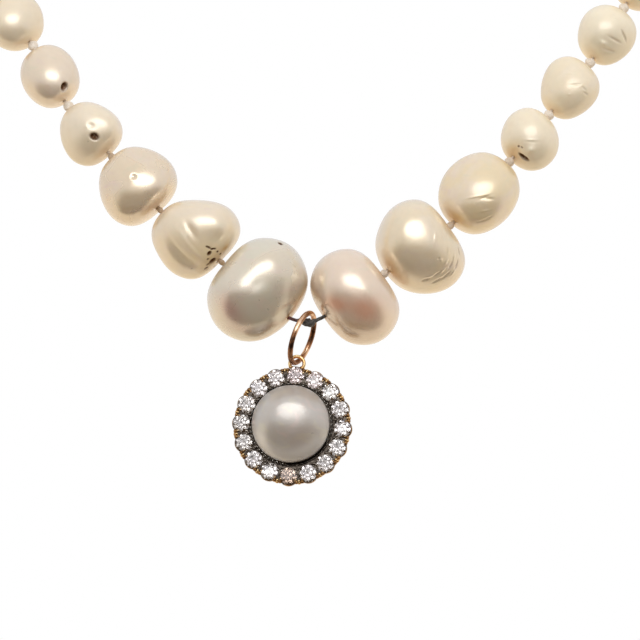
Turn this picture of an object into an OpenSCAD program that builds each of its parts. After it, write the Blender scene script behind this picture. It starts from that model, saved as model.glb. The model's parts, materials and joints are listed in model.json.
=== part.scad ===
// Graduated pearl necklace with a pearl and diamond cluster pendant, in the form it takes when worn.
// Millimetres. +Z is up and the wearer faces -Y. The origin is at the nape, on the clasp's inner side.

/* [Worn loop] */
// Height of the front pearls' reference line below the nape
front_drop = 92; // [84:1:100]
// Distance of the front thread from the nape
front_reach = 124; // [116:1:132]
// Half width of the loop at the sides of the neck
side_reach = 59; // [55:1:63]
// Distance of the loop's widest point from the nape
side_depth = 62; // [56:1:68]
// Height of the loop's widest point below the nape
side_drop = 17; // [12:1:22]
// Backward lean of the front stretch, in mm of depth for each mm of height
front_lean = 0.25; // [0.15:0.05:0.3]
// Radius of the front stretch's curve round the chest, seen from above
front_bow = 95; // [85:5:120]

/* [Pearls] */
// Space between neighbouring pearls along the thread
pearl_gap = 0.75; // [0.7:0.05:0.9]
// Length of the first pearl past the measured ones, before it is fitted to the loop
next_len = 6.6; // [6.4:0.1:6.8]
// Length of the last pearl before the clasp, before it is fitted to the loop
last_len = 5.1; // [4.9:0.1:5.4]
// Pearls of each side past the measured ones
rest_count = 24; // [23:1:25]
// Radius of the hole drilled through each pearl
bore_r = 0.35; // [0.32:0.01:0.38]

/* [Silk] */
// Radius of the thread
thread_r = 0.2; // [0.16:0.01:0.21]
// Radius of the knot between two pearls
knot_r = 0.55; // [0.45:0.05:0.55]
// Clearance between a knot and the pearl beside it
knot_clear = 0.12; // [0.1:0.01:0.15]
// Radius of the lump of thread that the jump ring hangs on
lump_r = 0.45; // [0.4:0.01:0.48]

/* [Jump ring] */
// Radius of the ring, to the middle of its wire
ring_r = 3; // [2.9:0.05:3.1]
// Radius of the ring's wire
ring_wire_r = 0.31; // [0.28:0.01:0.32]
// Turn of the ring's plane away from edge-on
ring_yaw = 20.6; // [16:0.2:24]
// Sideways lean of the ring
ring_lean = 18; // [14:0.5:20]
// Space between the ring and the lump that it hangs on
ring_clear = 0.13; // [0.12:0.01:0.16]
// Place of the pendant's loop on the ring, as an angle past the ring's lowest point
loop_turn = 14; // [12:1:16]

/* [Cluster] */
// Diamonds round the middle pearl
stone_count = 16; // [14:1:16]
// Radius of a diamond at its girdle
stone_r = 0.97; // [0.92:0.01:0.98]
// Radius of the circle of diamonds
stone_ring_r = 5.84; // [5.82:0.01:5.9]
// Radius of the button pearl
button_r = 4.54; // [4.4:0.01:4.56]
// Height of the button pearl over the diamonds' girdles
button_h = 2.5; // [2:0.1:3]
// Depth of the setting behind the diamonds' girdles
setting_depth = 2; // [1.8:0.1:2.2]
// Upward tilt of the cluster's face
face_tilt = 8; // [6:0.5:9]
// Turn of the cluster's face towards the left
face_yaw = 5.8; // [4:0.2:7]
// Clockwise roll of the cluster
face_roll = 3.2; // [2.8:0.1:3.8]
// Height of the soldered loop over the cluster's middle
loop_up = 7.35; // [7.3:0.01:7.4]
// Distance of the soldered loop behind the diamonds' girdles
loop_back = 0.63; // [0.6:0.01:0.7]

/* [Clasp] */
// Length of the barrel
clasp_len = 12; // [11:0.5:13]
// Radius of the barrel at its middle
clasp_r = 2.2; // [2:0.1:2.4]
// Radius of the barrel at its ends
clasp_end_r = 1.3; // [1.2:0.1:1.5]

/* [Hidden] */
// Columns of the tables of measured pearls: x and z of the knot on the clasp side, half width
// across the thread, half depth, sag outward, skew, fullness towards one end, fullness of the
// shoulders, and gap to the next pearl. x grows away from the middle and z is counted from the
// reference line.
KNOT_X = 0;
KNOT_Z = 1;
WIDE = 2;
DEEP = 3;
SAG = 4;
SKEW = 5;
PEAR = 6;
FULL = 7;
GAP = 8;
LEFT_PEARLS = [
    [9.7, 3.5, 6.15, 5.6, -0.2, 0.05, 0, 0.55, 0.5],
    [16.8, 9.5, 4.75, 4.7, -0.3, 0.25, -0.5, 0.45, 0.5],
    [22.4, 15.7, 4.4, 4.4, 0.05, 0, -0.3, 0.55, 0.6],
    [27.5, 21.5, 3.55, 3.5, 0.1, 0, -0.25, 0.1, 0.75],
    [31.5, 28.5, 3.4, 3.4, 0.05, 0, 0, 0, 0.75],
    [35.3, 34.1, 3.3, 3.3, 0.2, 0, 0.1, 0.2, 0.75],
    [39.5, 40.7, 3.4, 3.3, 0.1, 0.05, 0, 0.05, 0.75]
];
RIGHT_PEARLS = [
    [9, 2.2, 5.6, 5, 0.2, 0, 0, 0.8, 0.7],
    [16.6, 7.7, 5.4, 4.9, 0, -0.05, 0.4, 0.6, 0.7],
    [23.4, 15.1, 4.3, 4.4, -0.2, 0, 0, 0.2, 0.75],
    [27.9, 20.5, 3.5, 3.4, 0.2, -0.15, 0, 0.15, 0.75],
    [32.8, 26.5, 3.4, 3.3, -0.15, -0.05, 0.2, 0, 0.75],
    [36.7, 32.9, 3.4, 3.4, -0.15, 0.05, 0.1, 0, 0.75],
    [40.8, 39.8, 3.4, 3.3, 0.1, 0, 0, 0.05, 0.75]
];
// Knots where the middle thread leaves the two largest pearls: x and z
LEFT_EXIT = [1.75, -3.05];
RIGHT_EXIT = [2.05, -2.75];
EXIT_GAP = 0.5;
// Height of the middle thread where the ring hangs on it, counted from the reference line
HANG_Z = -3.16;
LEFT = -1;
RIGHT = 1;
FRONT_COUNT = len(LEFT_PEARLS);
SIDE_COUNT = FRONT_COUNT + rest_count;
// Pearls of each side that are single nodes. The others of a side are one string.
SINGLE_COUNT = 12;

// The ring's own directions: its normal, level towards the viewer, and steepest down
ring_normal = [cos(ring_lean) * cos(ring_yaw), -cos(ring_lean) * sin(ring_yaw), -sin(ring_lean)];
ring_level = [-sin(ring_yaw), -cos(ring_yaw), 0];
ring_down = cross(ring_normal, ring_level);
// The thread runs through the ring at this point, and the ring swings about it
hang_at = [0.2, -front_reach, HANG_Z - front_drop];
// Depth of the ring's middle behind the thread, which balances the pendant front to back
ring_shift = 0.15;
// Distance from the thread to the ring's middle, then the step between them in the ring's plane
ring_hang = ring_r - ring_wire_r - ring_clear - lump_r;
ring_flat = norm([ring_normal[0], ring_normal[2]]);
ring_off = ring_normal[1] * ring_shift / ring_flat;
ring_rise = sqrt(pow(ring_hang, 2) - pow(ring_shift, 2) - pow(ring_off, 2));
ring_at = hang_at + [
    (ring_rise * ring_normal[2] - ring_off * ring_normal[0]) / ring_flat,
    ring_shift,
    -(ring_off * ring_normal[2] + ring_rise * ring_normal[0]) / ring_flat
];
// The loop's tube and its place on the ring
loop_tube_r = 0.2;
loop_r = 0.82;
loop_lift = 0.18;
pivot_at = ring_at + ring_r * (cos(90 + loop_turn) * ring_level + sin(90 + loop_turn) * ring_down);
pivot_axis = cos(90 + loop_turn) * ring_down - sin(90 + loop_turn) * ring_level;
// Up direction of the cluster in the row's frame, for the step from the pivot to the loop's middle
face_up = turned([sin(face_roll), cos(face_roll), 0]);
loop_at = pivot_at - loop_lift * face_up;

// Setting: levels are counted from the girdles, towards the viewer
plate_top = 0.03;
plate_low = -0.8;
floor_top = -0.3;
floor_low = -0.9;
seat_clear = 0.05;
scallop_r = 1.12;
plate_r = 6.45;
gallery_r = 6.5;
gallery_in_r = 4.9;
cup_r = 4.61;
light_hole_r = 0.4;
grain_r = 0.22;
grain_inner_r = 0.18;
grain_up = 0.06;
grain_out_r = 6.5;
grain_in_r = 5.02;
peg_r = 0.4;
peg_top = 1;
// Depth by which soldered pieces run into each other, and cuts run past a face
merge = 0.1;
// Button pearl: level of its widest part and the share of its width at the rim's foot
button_waist = 0.5;
BUTTON_FOOT = 0.82;
// Clasp: length of its taper, height of the shoulder after it, and depth of the holes in its ends
clasp_taper = 2;
clasp_shoulder = 0.3;
clasp_hole = 1.5;
// Diamond: shares of the girdle's radius
TABLE_SHARE = 0.52;
CROWN_SHARE = 0.36;
PAVILION_SHARE = 0.84;
CULET_SHARE = 0.08;
girdle_h = 0.05;

function unit(a) = a / norm(a);

// A direction in the cluster's own frame, turned into the row's frame
function turned(a) =
    let (up = [a[0], -a[2] * cos(face_tilt) + a[1] * sin(face_tilt),
               a[1] * cos(face_tilt) + a[2] * sin(face_tilt)])
    [up[0] * cos(face_yaw) + up[1] * sin(face_yaw), up[1] * cos(face_yaw) - up[0] * sin(face_yaw), up[2]];

// A point of the front stretch, from its distance from the middle and its height
function front_point(side, x, z) =
    [side * x, -front_reach + front_lean * (z - HANG_Z) + x * x / (2 * front_bow), z - front_drop];

function bezier(p, t) =
    pow(1 - t, 3) * p[0] + 3 * t * pow(1 - t, 2) * p[1] + 3 * t * t * (1 - t) * p[2] + pow(t, 3) * p[3];

function front_rows(side) = side == LEFT ? LEFT_PEARLS : RIGHT_PEARLS;

// Knots of the measured pearls, from the middle outward
function front_knots(side) =
    let (out = side == LEFT ? LEFT_EXIT : RIGHT_EXIT)
    concat([front_point(side, out[0], out[1])],
           [for (r = front_rows(side)) front_point(side, r[KNOT_X], r[KNOT_Z])]);

// Hidden path of one side: up over the collar bone to the side of the neck, then round to the clasp.
// Handles are the lengths of the curves' end tangents, in order along the path.
PATH_STEPS = 24;
HANDLES = [18, 20, 32, 33];
SIDE_DIRECTION = [0, 1, 0.38];
function hidden_path(side) =
    let (k = front_knots(side),
         start = k[FRONT_COUNT],
         climb = unit(k[FRONT_COUNT] - k[FRONT_COUNT - 2]),
         wide = [side * side_reach, -side_depth, -side_drop],
         back = unit(SIDE_DIRECTION),
         end = [side * (clasp_len / 2 + pearl_gap / 2), clasp_r, 0],
         first = [start, start + HANDLES[0] * climb, wide - HANDLES[1] * back, wide],
         second = [wide, wide + HANDLES[2] * back, end + [side * HANDLES[3], 0, 0], end])
    concat([for (i = [0 : PATH_STEPS - 1]) bezier(first, i / PATH_STEPS)],
           [for (i = [0 : PATH_STEPS]) bezier(second, i / PATH_STEPS)]);

function running(p, i = 1, sum = [0]) =
    i == len(p) ? sum : running(p, i + 1, concat(sum, [sum[i - 1] + norm(p[i] - p[i - 1])]));

function along(path, sums, s) =
    [for (c = [0 : 2]) lookup(s, [for (i = [0 : len(path) - 1]) [sums[i], path[i][c]]])];

// Lengths of the hidden pearls, scaled so that they fill the path with the gaps between them
function rest_len(i) = next_len + (last_len - next_len) * i / (rest_count - 1);
function rest_before(i) = i == 0 ? 0 : rest_before(i - 1) + rest_len(i - 1);

function rest_knots(side) =
    let (path = hidden_path(side),
         sums = running(path),
         whole = sums[len(sums) - 1],
         fit = (whole - rest_count * pearl_gap) / rest_before(rest_count))
    [for (i = [1 : rest_count]) along(path, sums, i * pearl_gap + fit * rest_before(i))];

LEFT_KNOTS = concat(front_knots(LEFT), rest_knots(LEFT));
RIGHT_KNOTS = concat(front_knots(RIGHT), rest_knots(RIGHT));
function knots(side) = side == LEFT ? LEFT_KNOTS : RIGHT_KNOTS;

// Gap at a knot: knot 0 is where the middle thread leaves the largest pearl
function gap_at(side, i) =
    i == 0 ? EXIT_GAP : i <= FRONT_COUNT ? front_rows(side)[i - 1][GAP] : pearl_gap;

// Differences from pearl to pearl, spread by the golden angle
GOLDEN_ANGLE = 137.5;
function vary(seed) = sin(seed * GOLDEN_ANGLE);

// Row of a pearl past the measured ones: near round, each a little different
WIDE_VARY = 0.05;
DEEP_SHARE = 0.98;
DEEP_VARY = 0.03;
FORM_VARY = 0.1;
REST_FULL = 0.06;
function rest_row(side, i, len) =
    let (seed = 3 * i + side)
    [0, 0, len / 2 * (1 + WIDE_VARY * vary(seed)), len / 2 * (DEEP_SHARE + DEEP_VARY * vary(seed + 11)),
     FORM_VARY * vary(seed + 5), FORM_VARY * vary(seed + 7), FORM_VARY * vary(seed + 9),
     REST_FULL, pearl_gap];

// Radius of a pearl in its own main plane, at an angle from the thread. The factor makes the
// table's value the greatest change of radius that fullness towards one end gives.
PEAR_FACTOR = 2.6;
function main_r(row, half, a) =
    1 / sqrt(pow(cos(a) / half, 2) + pow(sin(a) / row[WIDE], 2))
    + row[SAG] * sin(a) * abs(sin(a))
    + row[SKEW] * sin(2 * a)
    + row[PEAR] * PEAR_FACTOR * cos(a) * pow(sin(a), 2)
    + row[FULL] * pow(sin(2 * a), 2);

// Point of a pearl's surface, at an angle from the thread and an angle round it
function pearl_point(row, half, a, turn) =
    let (d = [cos(a), sin(a) * cos(turn), sin(a) * sin(turn)],
         flat = norm([d[0], d[1]]),
         r = main_r(row, half, atan2(d[1], d[0])))
    d / sqrt(pow(flat / r, 2) + pow(d[2] / row[DEEP], 2));

// Solid through rings of points that all have the same number of sides. Open ends are closed by
// a flat cap, or the last ring is joined to the first where the solid has a hole through it.
module ring_solid(rings, sides, bored) {
    n = len(rings);
    last = bored ? n - 1 : n - 2;
    walls = [
        for (j = [0 : last])
            for (k = [0 : sides - 1])
                let (a = j * sides + k,
                     b = j * sides + (k + 1) % sides,
                     c = (j + 1) % n * sides + (k + 1) % sides,
                     d = (j + 1) % n * sides + k)
                each [[a, b, c], [a, c, d]]
    ];
    first_cap = [for (k = [0 : sides - 1]) sides - 1 - k];
    last_cap = [for (k = [0 : sides - 1]) (n - 1) * sides + k];
    polyhedron([for (r = rings) each r], bored ? walls : concat(walls, [first_cap, last_cap]));
}

// One drilled pearl of a side, counted from 0 at the middle. Its skin starts at the rim angle from
// the thread and closes onto the mouths of the bore.
RIM_ANGLE = 13;
module pearl(side, i, sides, bands) {
    a = knots(side)[i];
    b = knots(side)[i + 1];
    w = unit(b - a);
    u = side * unit(cross([0, 1, 0], w));
    v = cross(w, u);
    chord = norm(b - a);
    half = (chord - gap_at(side, i) / 2 - gap_at(side, i + 1) / 2) / 2;
    c = a + w * (gap_at(side, i) / 2 + half);
    row = i < FRONT_COUNT ? front_rows(side)[i] : rest_row(side, i, 2 * half);
    angles = [for (j = [0 : bands]) RIM_ANGLE + (180 - 2 * RIM_ANGLE) * j / bands];
    mouth = [for (end = [1, -1])
        [for (k = [0 : sides - 1])
            c + w * half * end + bore_r * (u * cos(360 * k / sides) + v * sin(360 * k / sides))]];
    skin = [for (t = angles)
        [for (k = [0 : sides - 1])
            let (p = pearl_point(row, half, t, 360 * k / sides))
            c + w * p[0] + u * p[1] + v * p[2]]];
    ring_solid(concat([mouth[0]], skin, [mouth[1]]), sides, true);
}

module front_pearl(side, i) {
    color("antiquewhite")
        if (i < FRONT_COUNT) pearl(side, i, 16, 6);
        else pearl(side, i, 12, 5);
}

module back_pearls(side) {
    color("antiquewhite")
        for (i = [SINGLE_COUNT : SIDE_COUNT - 1]) pearl(side, i, 10, 4);
}

// Ring of points of a thread, at right angles to its direction
function thread_ring(at, along, r, sides) =
    let (e = unit(cross(along, [0, 0, 1])),
         f = cross(along, e))
    [for (k = [0 : sides - 1]) at + r * (e * cos(-360 * k / sides) + f * sin(-360 * k / sides))];

THREAD_SIDES = 5;
MIDDLE_SIDES = 10;
// Gap between the ends of two threads inside a pearl, and reach of the silk past its last knot
THREAD_APART = 0.2;
SILK_END = 1.4;
// Lump of the middle thread: distance from where the ring hangs, and radius
MIDDLE_LUMP = [[-0.85, thread_r], [-0.35, lump_r], [0.65, lump_r], [1.1, thread_r]];

// The four rings of a knot: the thread swells to the knot's radius and back. A narrow gap has a
// thinner knot.
KNOT_SHARE = 0.8;
function knot_rings(at, along, gap) =
    let (half = gap / 2 - knot_clear,
         r = min(knot_r, KNOT_SHARE * gap))
    [thread_ring(at - half * along, along, thread_r, THREAD_SIDES),
     thread_ring(at - 0.5 * half * along, along, r, THREAD_SIDES),
     thread_ring(at + 0.5 * half * along, along, r, THREAD_SIDES),
     thread_ring(at + half * along, along, thread_r, THREAD_SIDES)];

// Knotted silk of one side: from inside the largest pearl to inside the clasp's mouth
module silk(side) {
    k = knots(side);
    n = len(k) - 1;
    start = (k[0] + k[1]) / 2 + THREAD_APART * unit(k[1] - k[0]);
    to_clasp = [-side, 0, 0];
    middle = [for (i = [1 : n])
        let (along = unit(unit(k[i] - k[i - 1]) + (i < n ? unit(k[i + 1] - k[i]) : to_clasp)))
        each knot_rings(k[i], along, gap_at(side, i))];
    color("cornsilk")
        ring_solid(concat(
            [thread_ring(start, unit(k[1] - k[0]), thread_r, THREAD_SIDES)],
            middle,
            [thread_ring(k[n] + SILK_END * to_clasp, to_clasp, thread_r, THREAD_SIDES)]
        ), THREAD_SIDES, false);
}

// Dark thread between the two largest pearls, with the lump that the jump ring hangs on
module middle_thread() {
    l = LEFT_KNOTS;
    r = RIGHT_KNOTS;
    color("dimgray")
        ring_solid(concat(
            [thread_ring((l[0] + l[1]) / 2, unit(l[0] - l[1]), thread_r, MIDDLE_SIDES)],
            [thread_ring(l[0], unit(unit(l[0] - l[1]) + [1, 0, 0]), thread_r, MIDDLE_SIDES)],
            [for (p = MIDDLE_LUMP) thread_ring(hang_at + [p[0], 0, 0], [1, 0, 0], p[1], MIDDLE_SIDES)],
            [thread_ring(r[0], unit(unit(r[1] - r[0]) + [1, 0, 0]), thread_r, MIDDLE_SIDES)],
            [thread_ring((r[0] + r[1]) / 2, unit(r[1] - r[0]), thread_r, MIDDLE_SIDES)]
        ), MIDDLE_SIDES, false);
}

// Plain barrel: its ends taper over clasp_taper, and the last millimetre to full width is gentler
module clasp() {
    half = clasp_len / 2;
    color("gold")
        translate([0, clasp_r, 0])
            rotate([0, 90, 0])
                difference() {
                    rotate_extrude($fn = 48)
                        polygon([
                            [0, -half], [clasp_end_r, -half],
                            [clasp_r - clasp_shoulder, clasp_taper - half], [clasp_r, clasp_taper + 1 - half],
                            [clasp_r, half - clasp_taper - 1], [clasp_r - clasp_shoulder, half - clasp_taper],
                            [clasp_end_r, half], [0, half]
                        ]);
                    for (end = [-1, 1])
                        translate([0, 0, end * half])
                            cylinder(h = 2 * clasp_hole, r = bore_r, center = true, $fn = 24);
                }
}

module torus(r, tube_r) {
    rotate_extrude($fn = 64)
        translate([r, 0])
            circle(r = tube_r, $fn = 32);
}

module jump_ring() {
    color("peru")
        translate(ring_at)
            rotate([0, 90 + ring_lean, -ring_yaw])
                torus(ring_r, ring_wire_r);
}

// Puts the cluster, drawn face up with its top along +Y, where its loop hangs on the ring
module hung() {
    translate(loop_at)
        rotate([0, 0, -face_yaw])
            rotate([90 - face_tilt, 0, 0])
                rotate([0, 0, -face_roll])
                    translate([0, -loop_up, loop_back])
                        children();
}

function stone_angle(i) = 90 - 360 * i / stone_count;

module at_stone(i) {
    rotate([0, 0, stone_angle(i)])
        translate([stone_ring_r, 0, 0])
            children();
}

// Silver plate with a scallop round each diamond, on a gold gallery, with a floor under the pearl
module setting_body() {
    translate([0, 0, plate_low])
        linear_extrude(plate_top - plate_low) {
            circle(r = plate_r, $fn = 96);
            for (i = [0 : stone_count - 1])
                rotate(stone_angle(i))
                    translate([stone_ring_r, 0])
                        circle(r = scallop_r, $fn = 32);
        }
    translate([0, 0, -setting_depth])
        cylinder(h = setting_depth + plate_low + merge, r = gallery_r, $fn = 96);
    for (i = [0 : stone_count - 1])
        rotate([0, 0, stone_angle(i + 0.5)]) {
            translate([grain_out_r, 0, grain_up]) sphere(r = grain_r, $fn = 24);
            translate([grain_in_r, 0, grain_up]) sphere(r = grain_inner_r, $fn = 24);
        }
    translate([0, loop_up, -loop_back]) torus(loop_r, loop_tube_r);
}

// Cut for one diamond: a cone under the girdle, a straight wall over it, and a light hole behind
module stone_seat() {
    depth = PAVILION_SHARE * stone_r;
    translate([0, 0, -depth - girdle_h / 2 - seat_clear])
        cylinder(h = depth + seat_clear, r1 = CULET_SHARE * stone_r, r2 = stone_r + seat_clear, $fn = 32);
    translate([0, 0, -girdle_h / 2 - seat_clear / 50])
        cylinder(h = 1, r = stone_r + seat_clear, $fn = 32);
    translate([0, 0, -setting_depth - 1])
        cylinder(h = setting_depth + 1 + floor_top, r = light_hole_r, $fn = 32);
}

module pendant_setting() {
    color("goldenrod")
        hung() {
            difference() {
                setting_body();
                translate([0, 0, floor_top]) cylinder(h = 2, r = cup_r, $fn = 96);
                translate([0, 0, -setting_depth - 1])
                    cylinder(h = setting_depth + 1 + floor_low, r = gallery_in_r, $fn = 96);
                for (i = [0 : stone_count - 1]) at_stone(i) stone_seat();
            }
            translate([0, 0, floor_low + merge])
                cylinder(h = peg_top - floor_low - merge, r = peg_r, $fn = 32);
        }
}

// Half-round pearl: flat behind, with a bulging rim, on the setting's peg
module button_pearl() {
    base = floor_top + seat_clear;
    bulge = button_waist - base;
    rim = [for (a = [-60 : 20 : 0])
        [button_r * (BUTTON_FOOT + (1 - BUTTON_FOOT) * cos(a)), button_waist + bulge * sin(a) / sin(60)]];
    dome = [for (a = [10 : 10 : 80]) [button_r * cos(a), button_waist + (button_h - button_waist) * sin(a)]];
    color("silver")
        hung()
            difference() {
                rotate_extrude($fn = 96)
                    polygon(concat([[0, base]], rim, dome, [[0, button_h]]));
                translate([0, 0, base - 1])
                    cylinder(h = 1 + peg_top - base + merge, r = peg_r + seat_clear, $fn = 32);
            }
}

// Old-cut diamond: an eight-sided table, a crown and a pavilion on a sixteen-sided girdle
module diamond(i) {
    crown = girdle_h / 2 + CROWN_SHARE * stone_r;
    deep = girdle_h / 2 + PAVILION_SHARE * stone_r;
    small = [for (k = [0 : 7]) 45 * k];
    wide = [for (k = [0 : 15]) 22.5 * k];
    points = concat(
        [for (a = small) [TABLE_SHARE * stone_r * cos(a), TABLE_SHARE * stone_r * sin(a), crown]],
        [for (a = wide) [stone_r * cos(a), stone_r * sin(a), girdle_h / 2]],
        [for (a = wide) [stone_r * cos(a), stone_r * sin(a), -girdle_h / 2]],
        [for (a = small) [CULET_SHARE * stone_r * cos(a), CULET_SHARE * stone_r * sin(a), -deep]]
    );
    top = 8;
    low = 24;
    culet = 40;
    crown_faces = [for (k = [0 : 7])
        let (t = k,
             s = (k + 1) % 8,
             g = top + 2 * k,
             h = top + (2 * k + 2) % 16)
        each [[t, g + 1, g], [t, s, g + 1], [s, h, g + 1]]];
    girdle_faces = [for (k = [0 : 15])
        [top + k, top + (k + 1) % 16, low + (k + 1) % 16, low + k]];
    pavilion_faces = [for (k = [0 : 7])
        let (c = culet + k,
             e = culet + (k + 1) % 8,
             g = low + 2 * k,
             h = low + (2 * k + 2) % 16)
        each [[c, g, g + 1], [c, g + 1, e], [e, g + 1, h]]];
    table_face = [for (k = [0 : 7]) 7 - k];
    culet_face = [for (k = [0 : 7]) culet + k];
    faces = concat([table_face], crown_faces, girdle_faces, pavilion_faces, [culet_face]);
    color("aliceblue")
        hung()
            at_stone(i - 1)
                polyhedron(points, faces);
}

for (i = [1 : SINGLE_COUNT]) {
    front_pearl(LEFT, i - 1);
    front_pearl(RIGHT, i - 1);
}
back_pearls(LEFT);  // back_pearls_left
back_pearls(RIGHT);  // back_pearls_right
silk(LEFT);  // silk_left
silk(RIGHT);  // silk_right
middle_thread();
clasp();
jump_ring();
pendant_setting();
button_pearl();
for (i = [1 : stone_count])
    diamond(i);
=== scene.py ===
"""Looks of the graduated pearl necklace and its cluster pendant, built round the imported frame.

Shapes are worked out in millimetres from the frame's own nodes and written to the meshes in
metres. Left and right are the photo's. The viewer looks along +Y.
"""
import functools
import json
import math

import bmesh
import bpy
import numpy as np
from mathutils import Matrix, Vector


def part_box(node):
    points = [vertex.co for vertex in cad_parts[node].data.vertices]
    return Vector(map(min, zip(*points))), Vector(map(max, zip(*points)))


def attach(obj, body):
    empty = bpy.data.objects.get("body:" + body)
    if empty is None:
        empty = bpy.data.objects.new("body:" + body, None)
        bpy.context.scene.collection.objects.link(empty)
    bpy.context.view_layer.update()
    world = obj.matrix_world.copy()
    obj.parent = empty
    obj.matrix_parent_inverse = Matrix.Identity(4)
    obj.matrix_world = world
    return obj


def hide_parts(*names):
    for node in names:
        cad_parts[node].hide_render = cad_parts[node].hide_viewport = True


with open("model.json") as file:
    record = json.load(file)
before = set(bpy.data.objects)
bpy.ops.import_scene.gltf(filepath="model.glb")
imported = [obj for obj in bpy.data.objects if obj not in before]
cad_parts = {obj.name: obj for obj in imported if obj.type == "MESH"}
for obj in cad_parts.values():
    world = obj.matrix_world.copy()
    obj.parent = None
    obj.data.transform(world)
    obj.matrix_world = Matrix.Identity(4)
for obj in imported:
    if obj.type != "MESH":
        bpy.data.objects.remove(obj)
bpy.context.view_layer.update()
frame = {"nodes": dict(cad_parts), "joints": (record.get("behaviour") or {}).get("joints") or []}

MM = 0.001

# Photo: its size, millimetres for each pixel, and a pixel whose place is known
PHOTO_SIZE = 640
MM_PER_PIXEL = 0.115
KNOWN_COLUMN, KNOWN_COLUMN_X = 306, 0
KNOWN_ROW, KNOWN_ROW_Z = 293, -92

# Camera, in mm
CAMERA_DISTANCE = 3000
FRONT_DEPTH = -122
SENSOR_WIDTH = 36
CLIP_M = (0.1, 20)

# Degrees of the room's window to the right of the camera and above it
WINDOW_SIDE = 6
WINDOW_RISE = 32

SIDES = ("left", "right")
SINGLE_COUNT = 12
STONE_COUNT = 16
GOLDEN_ANGLE = math.radians(137.5)
HANG = np.array(frame["joints"][0]["pos_m"]) / MM


def unit(v):
    """The vector at length 1, or each row of an array of them."""
    v = np.asarray(v, float)
    return v / np.linalg.norm(v, axis=-1, keepdims=True)


def smooth_step(low, high, x):
    t = np.clip((x - low) / (high - low), 0, 1)
    return t * t * (3 - 2 * t)


def bell(x):
    """Rises to 1 where x is 0."""
    return np.exp(-x ** 2)


def turns(count):
    """Even angles round a full turn."""
    return np.arange(count) * 2 * math.pi / count


def run_of(path):
    """Length along a path up to each of its points."""
    return np.concatenate([[0], np.cumsum(np.linalg.norm(np.diff(path, axis=0), axis=1))])


# Meshes. A part is its points, its faces and its named values, each one number for the part or one
# for each point.

def link_mesh(name, points, faces):
    mesh = bpy.data.meshes.new(name)
    mesh.from_pydata(np.asarray(points).tolist(), [], [list(f) for f in faces])
    mesh.validate()
    made = bpy.data.objects.new(name, mesh)
    bpy.context.scene.collection.objects.link(made)
    return made


def new_piece(name, part, body, slot, replaced, flat=False, sharp_angle=None):
    """Makes a piece of a part in millimetres, with its body, its slot's finish and its node."""
    points, faces, values = part
    piece = link_mesh(name, np.asarray(points) * MM, faces)
    mesh = piece.data
    if flat:
        mesh.shade_flat()
    else:
        mesh.shade_smooth()
    if sharp_angle:
        mesh.set_sharp_from_angle(angle=math.radians(sharp_angle))
    for key, value in values.items():
        attribute = mesh.attributes.new(key, "FLOAT", "POINT")
        attribute.data.foreach_set("value", np.full(len(points), value, np.float32))
    mesh.materials.append(FINISHES[slot])
    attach(piece, body)
    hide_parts(replaced)


def join_parts(parts):
    """Joins parts with the same values into one."""
    faces, start = [], 0
    for points, own_faces, _ in parts:
        faces += [[i + start for i in face] for face in own_faces]
        start += len(points)
    values = {key: np.concatenate([np.full(len(points), own[key]) for points, _, own in parts])
              for key in parts[0][2]}
    return np.concatenate([points for points, _, _ in parts]), faces, values


def circle(r, angles, z):
    """Points round Z. The radius and the height are numbers or one for each angle."""
    return np.c_[r * np.cos(angles), r * np.sin(angles), np.full(len(angles), z)]


def ring_faces(rings, sides, closed=False):
    """Faces between rings of equal size that follow each other in the list of points."""
    last = rings if closed else rings - 1
    return [[j * sides + k, j * sides + (k + 1) % sides,
             (j + 1) % rings * sides + (k + 1) % sides, (j + 1) % rings * sides + k]
            for j in range(last) for k in range(sides)]


def shell(rings, start, end):
    """Closed shell through rings of equal size, with a point past the first and past the last."""
    sides = len(rings[0])
    first, last = len(rings) * sides, (len(rings) - 1) * sides
    faces = ring_faces(len(rings), sides)
    faces += [[first, (k + 1) % sides, k] for k in range(sides)]
    faces += [[first + 1, last + k, last + (k + 1) % sides] for k in range(sides)]
    return np.concatenate([*rings, [start, end]]), faces


def lathe(profile, sides):
    """Solid of revolution about Z through (radius, height) pairs that start and end on the axis."""
    rings = [circle(r, turns(sides), z) for r, z in profile[1:-1]]
    return shell(rings, (0, 0, profile[0][1]), (0, 0, profile[-1][1]))


def sweep(path, radii, sides, ridges, twist, ridge):
    """Tube along a path. Ridges wind round it, twist turns for each millimetre, as on thread."""
    path = np.asarray(path, float)
    tangents = unit(np.gradient(path, axis=0))
    across = unit(np.cross(tangents[0], (0.13, 0.21, 0.97)))
    turn = turns(sides)
    rings = []
    for at, along, r, s in zip(path, tangents, np.broadcast_to(radii, len(path)), run_of(path)):
        across = unit(across - along * (across @ along))
        other = np.cross(along, across)
        wave = r * (1 + ridge * np.cos(ridges * turn + 2 * math.pi * twist * s))
        rings.append(at + (wave * np.cos(turn))[:, None] * across
                     + (wave * np.sin(turn))[:, None] * other)
    faces = ring_faces(len(path), sides)
    faces.append(list(range(sides - 1, -1, -1)))
    faces.append([(len(path) - 1) * sides + k for k in range(sides)])
    return np.concatenate(rings), faces


def torus(r, tube_r, steps, sides):
    b = turns(sides)
    out = r + tube_r * np.cos(b)
    points = np.concatenate([np.c_[out * math.cos(a), out * math.sin(a), tube_r * np.sin(b)]
                             for a in turns(steps)])
    return points, [f[::-1] for f in ring_faces(steps, sides, True)]


@functools.cache
def ico_ball(level):
    """Unit sphere of near-equal triangles as (directions, faces)."""
    bm = bmesh.new()
    bmesh.ops.create_icosphere(bm, subdivisions=level, radius=1)
    ball = np.array([v.co for v in bm.verts]), [[v.index for v in f.verts] for f in bm.faces]
    bm.free()
    return ball


def fit_in(points, low, high):
    """Draws points in, axis by axis, where they pass a box."""
    middle, half = (low + high) / 2, (high - low) / 2
    reach = np.abs(points - middle).max(0)
    return middle + (points - middle) * np.minimum(1, half / reach)


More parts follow.
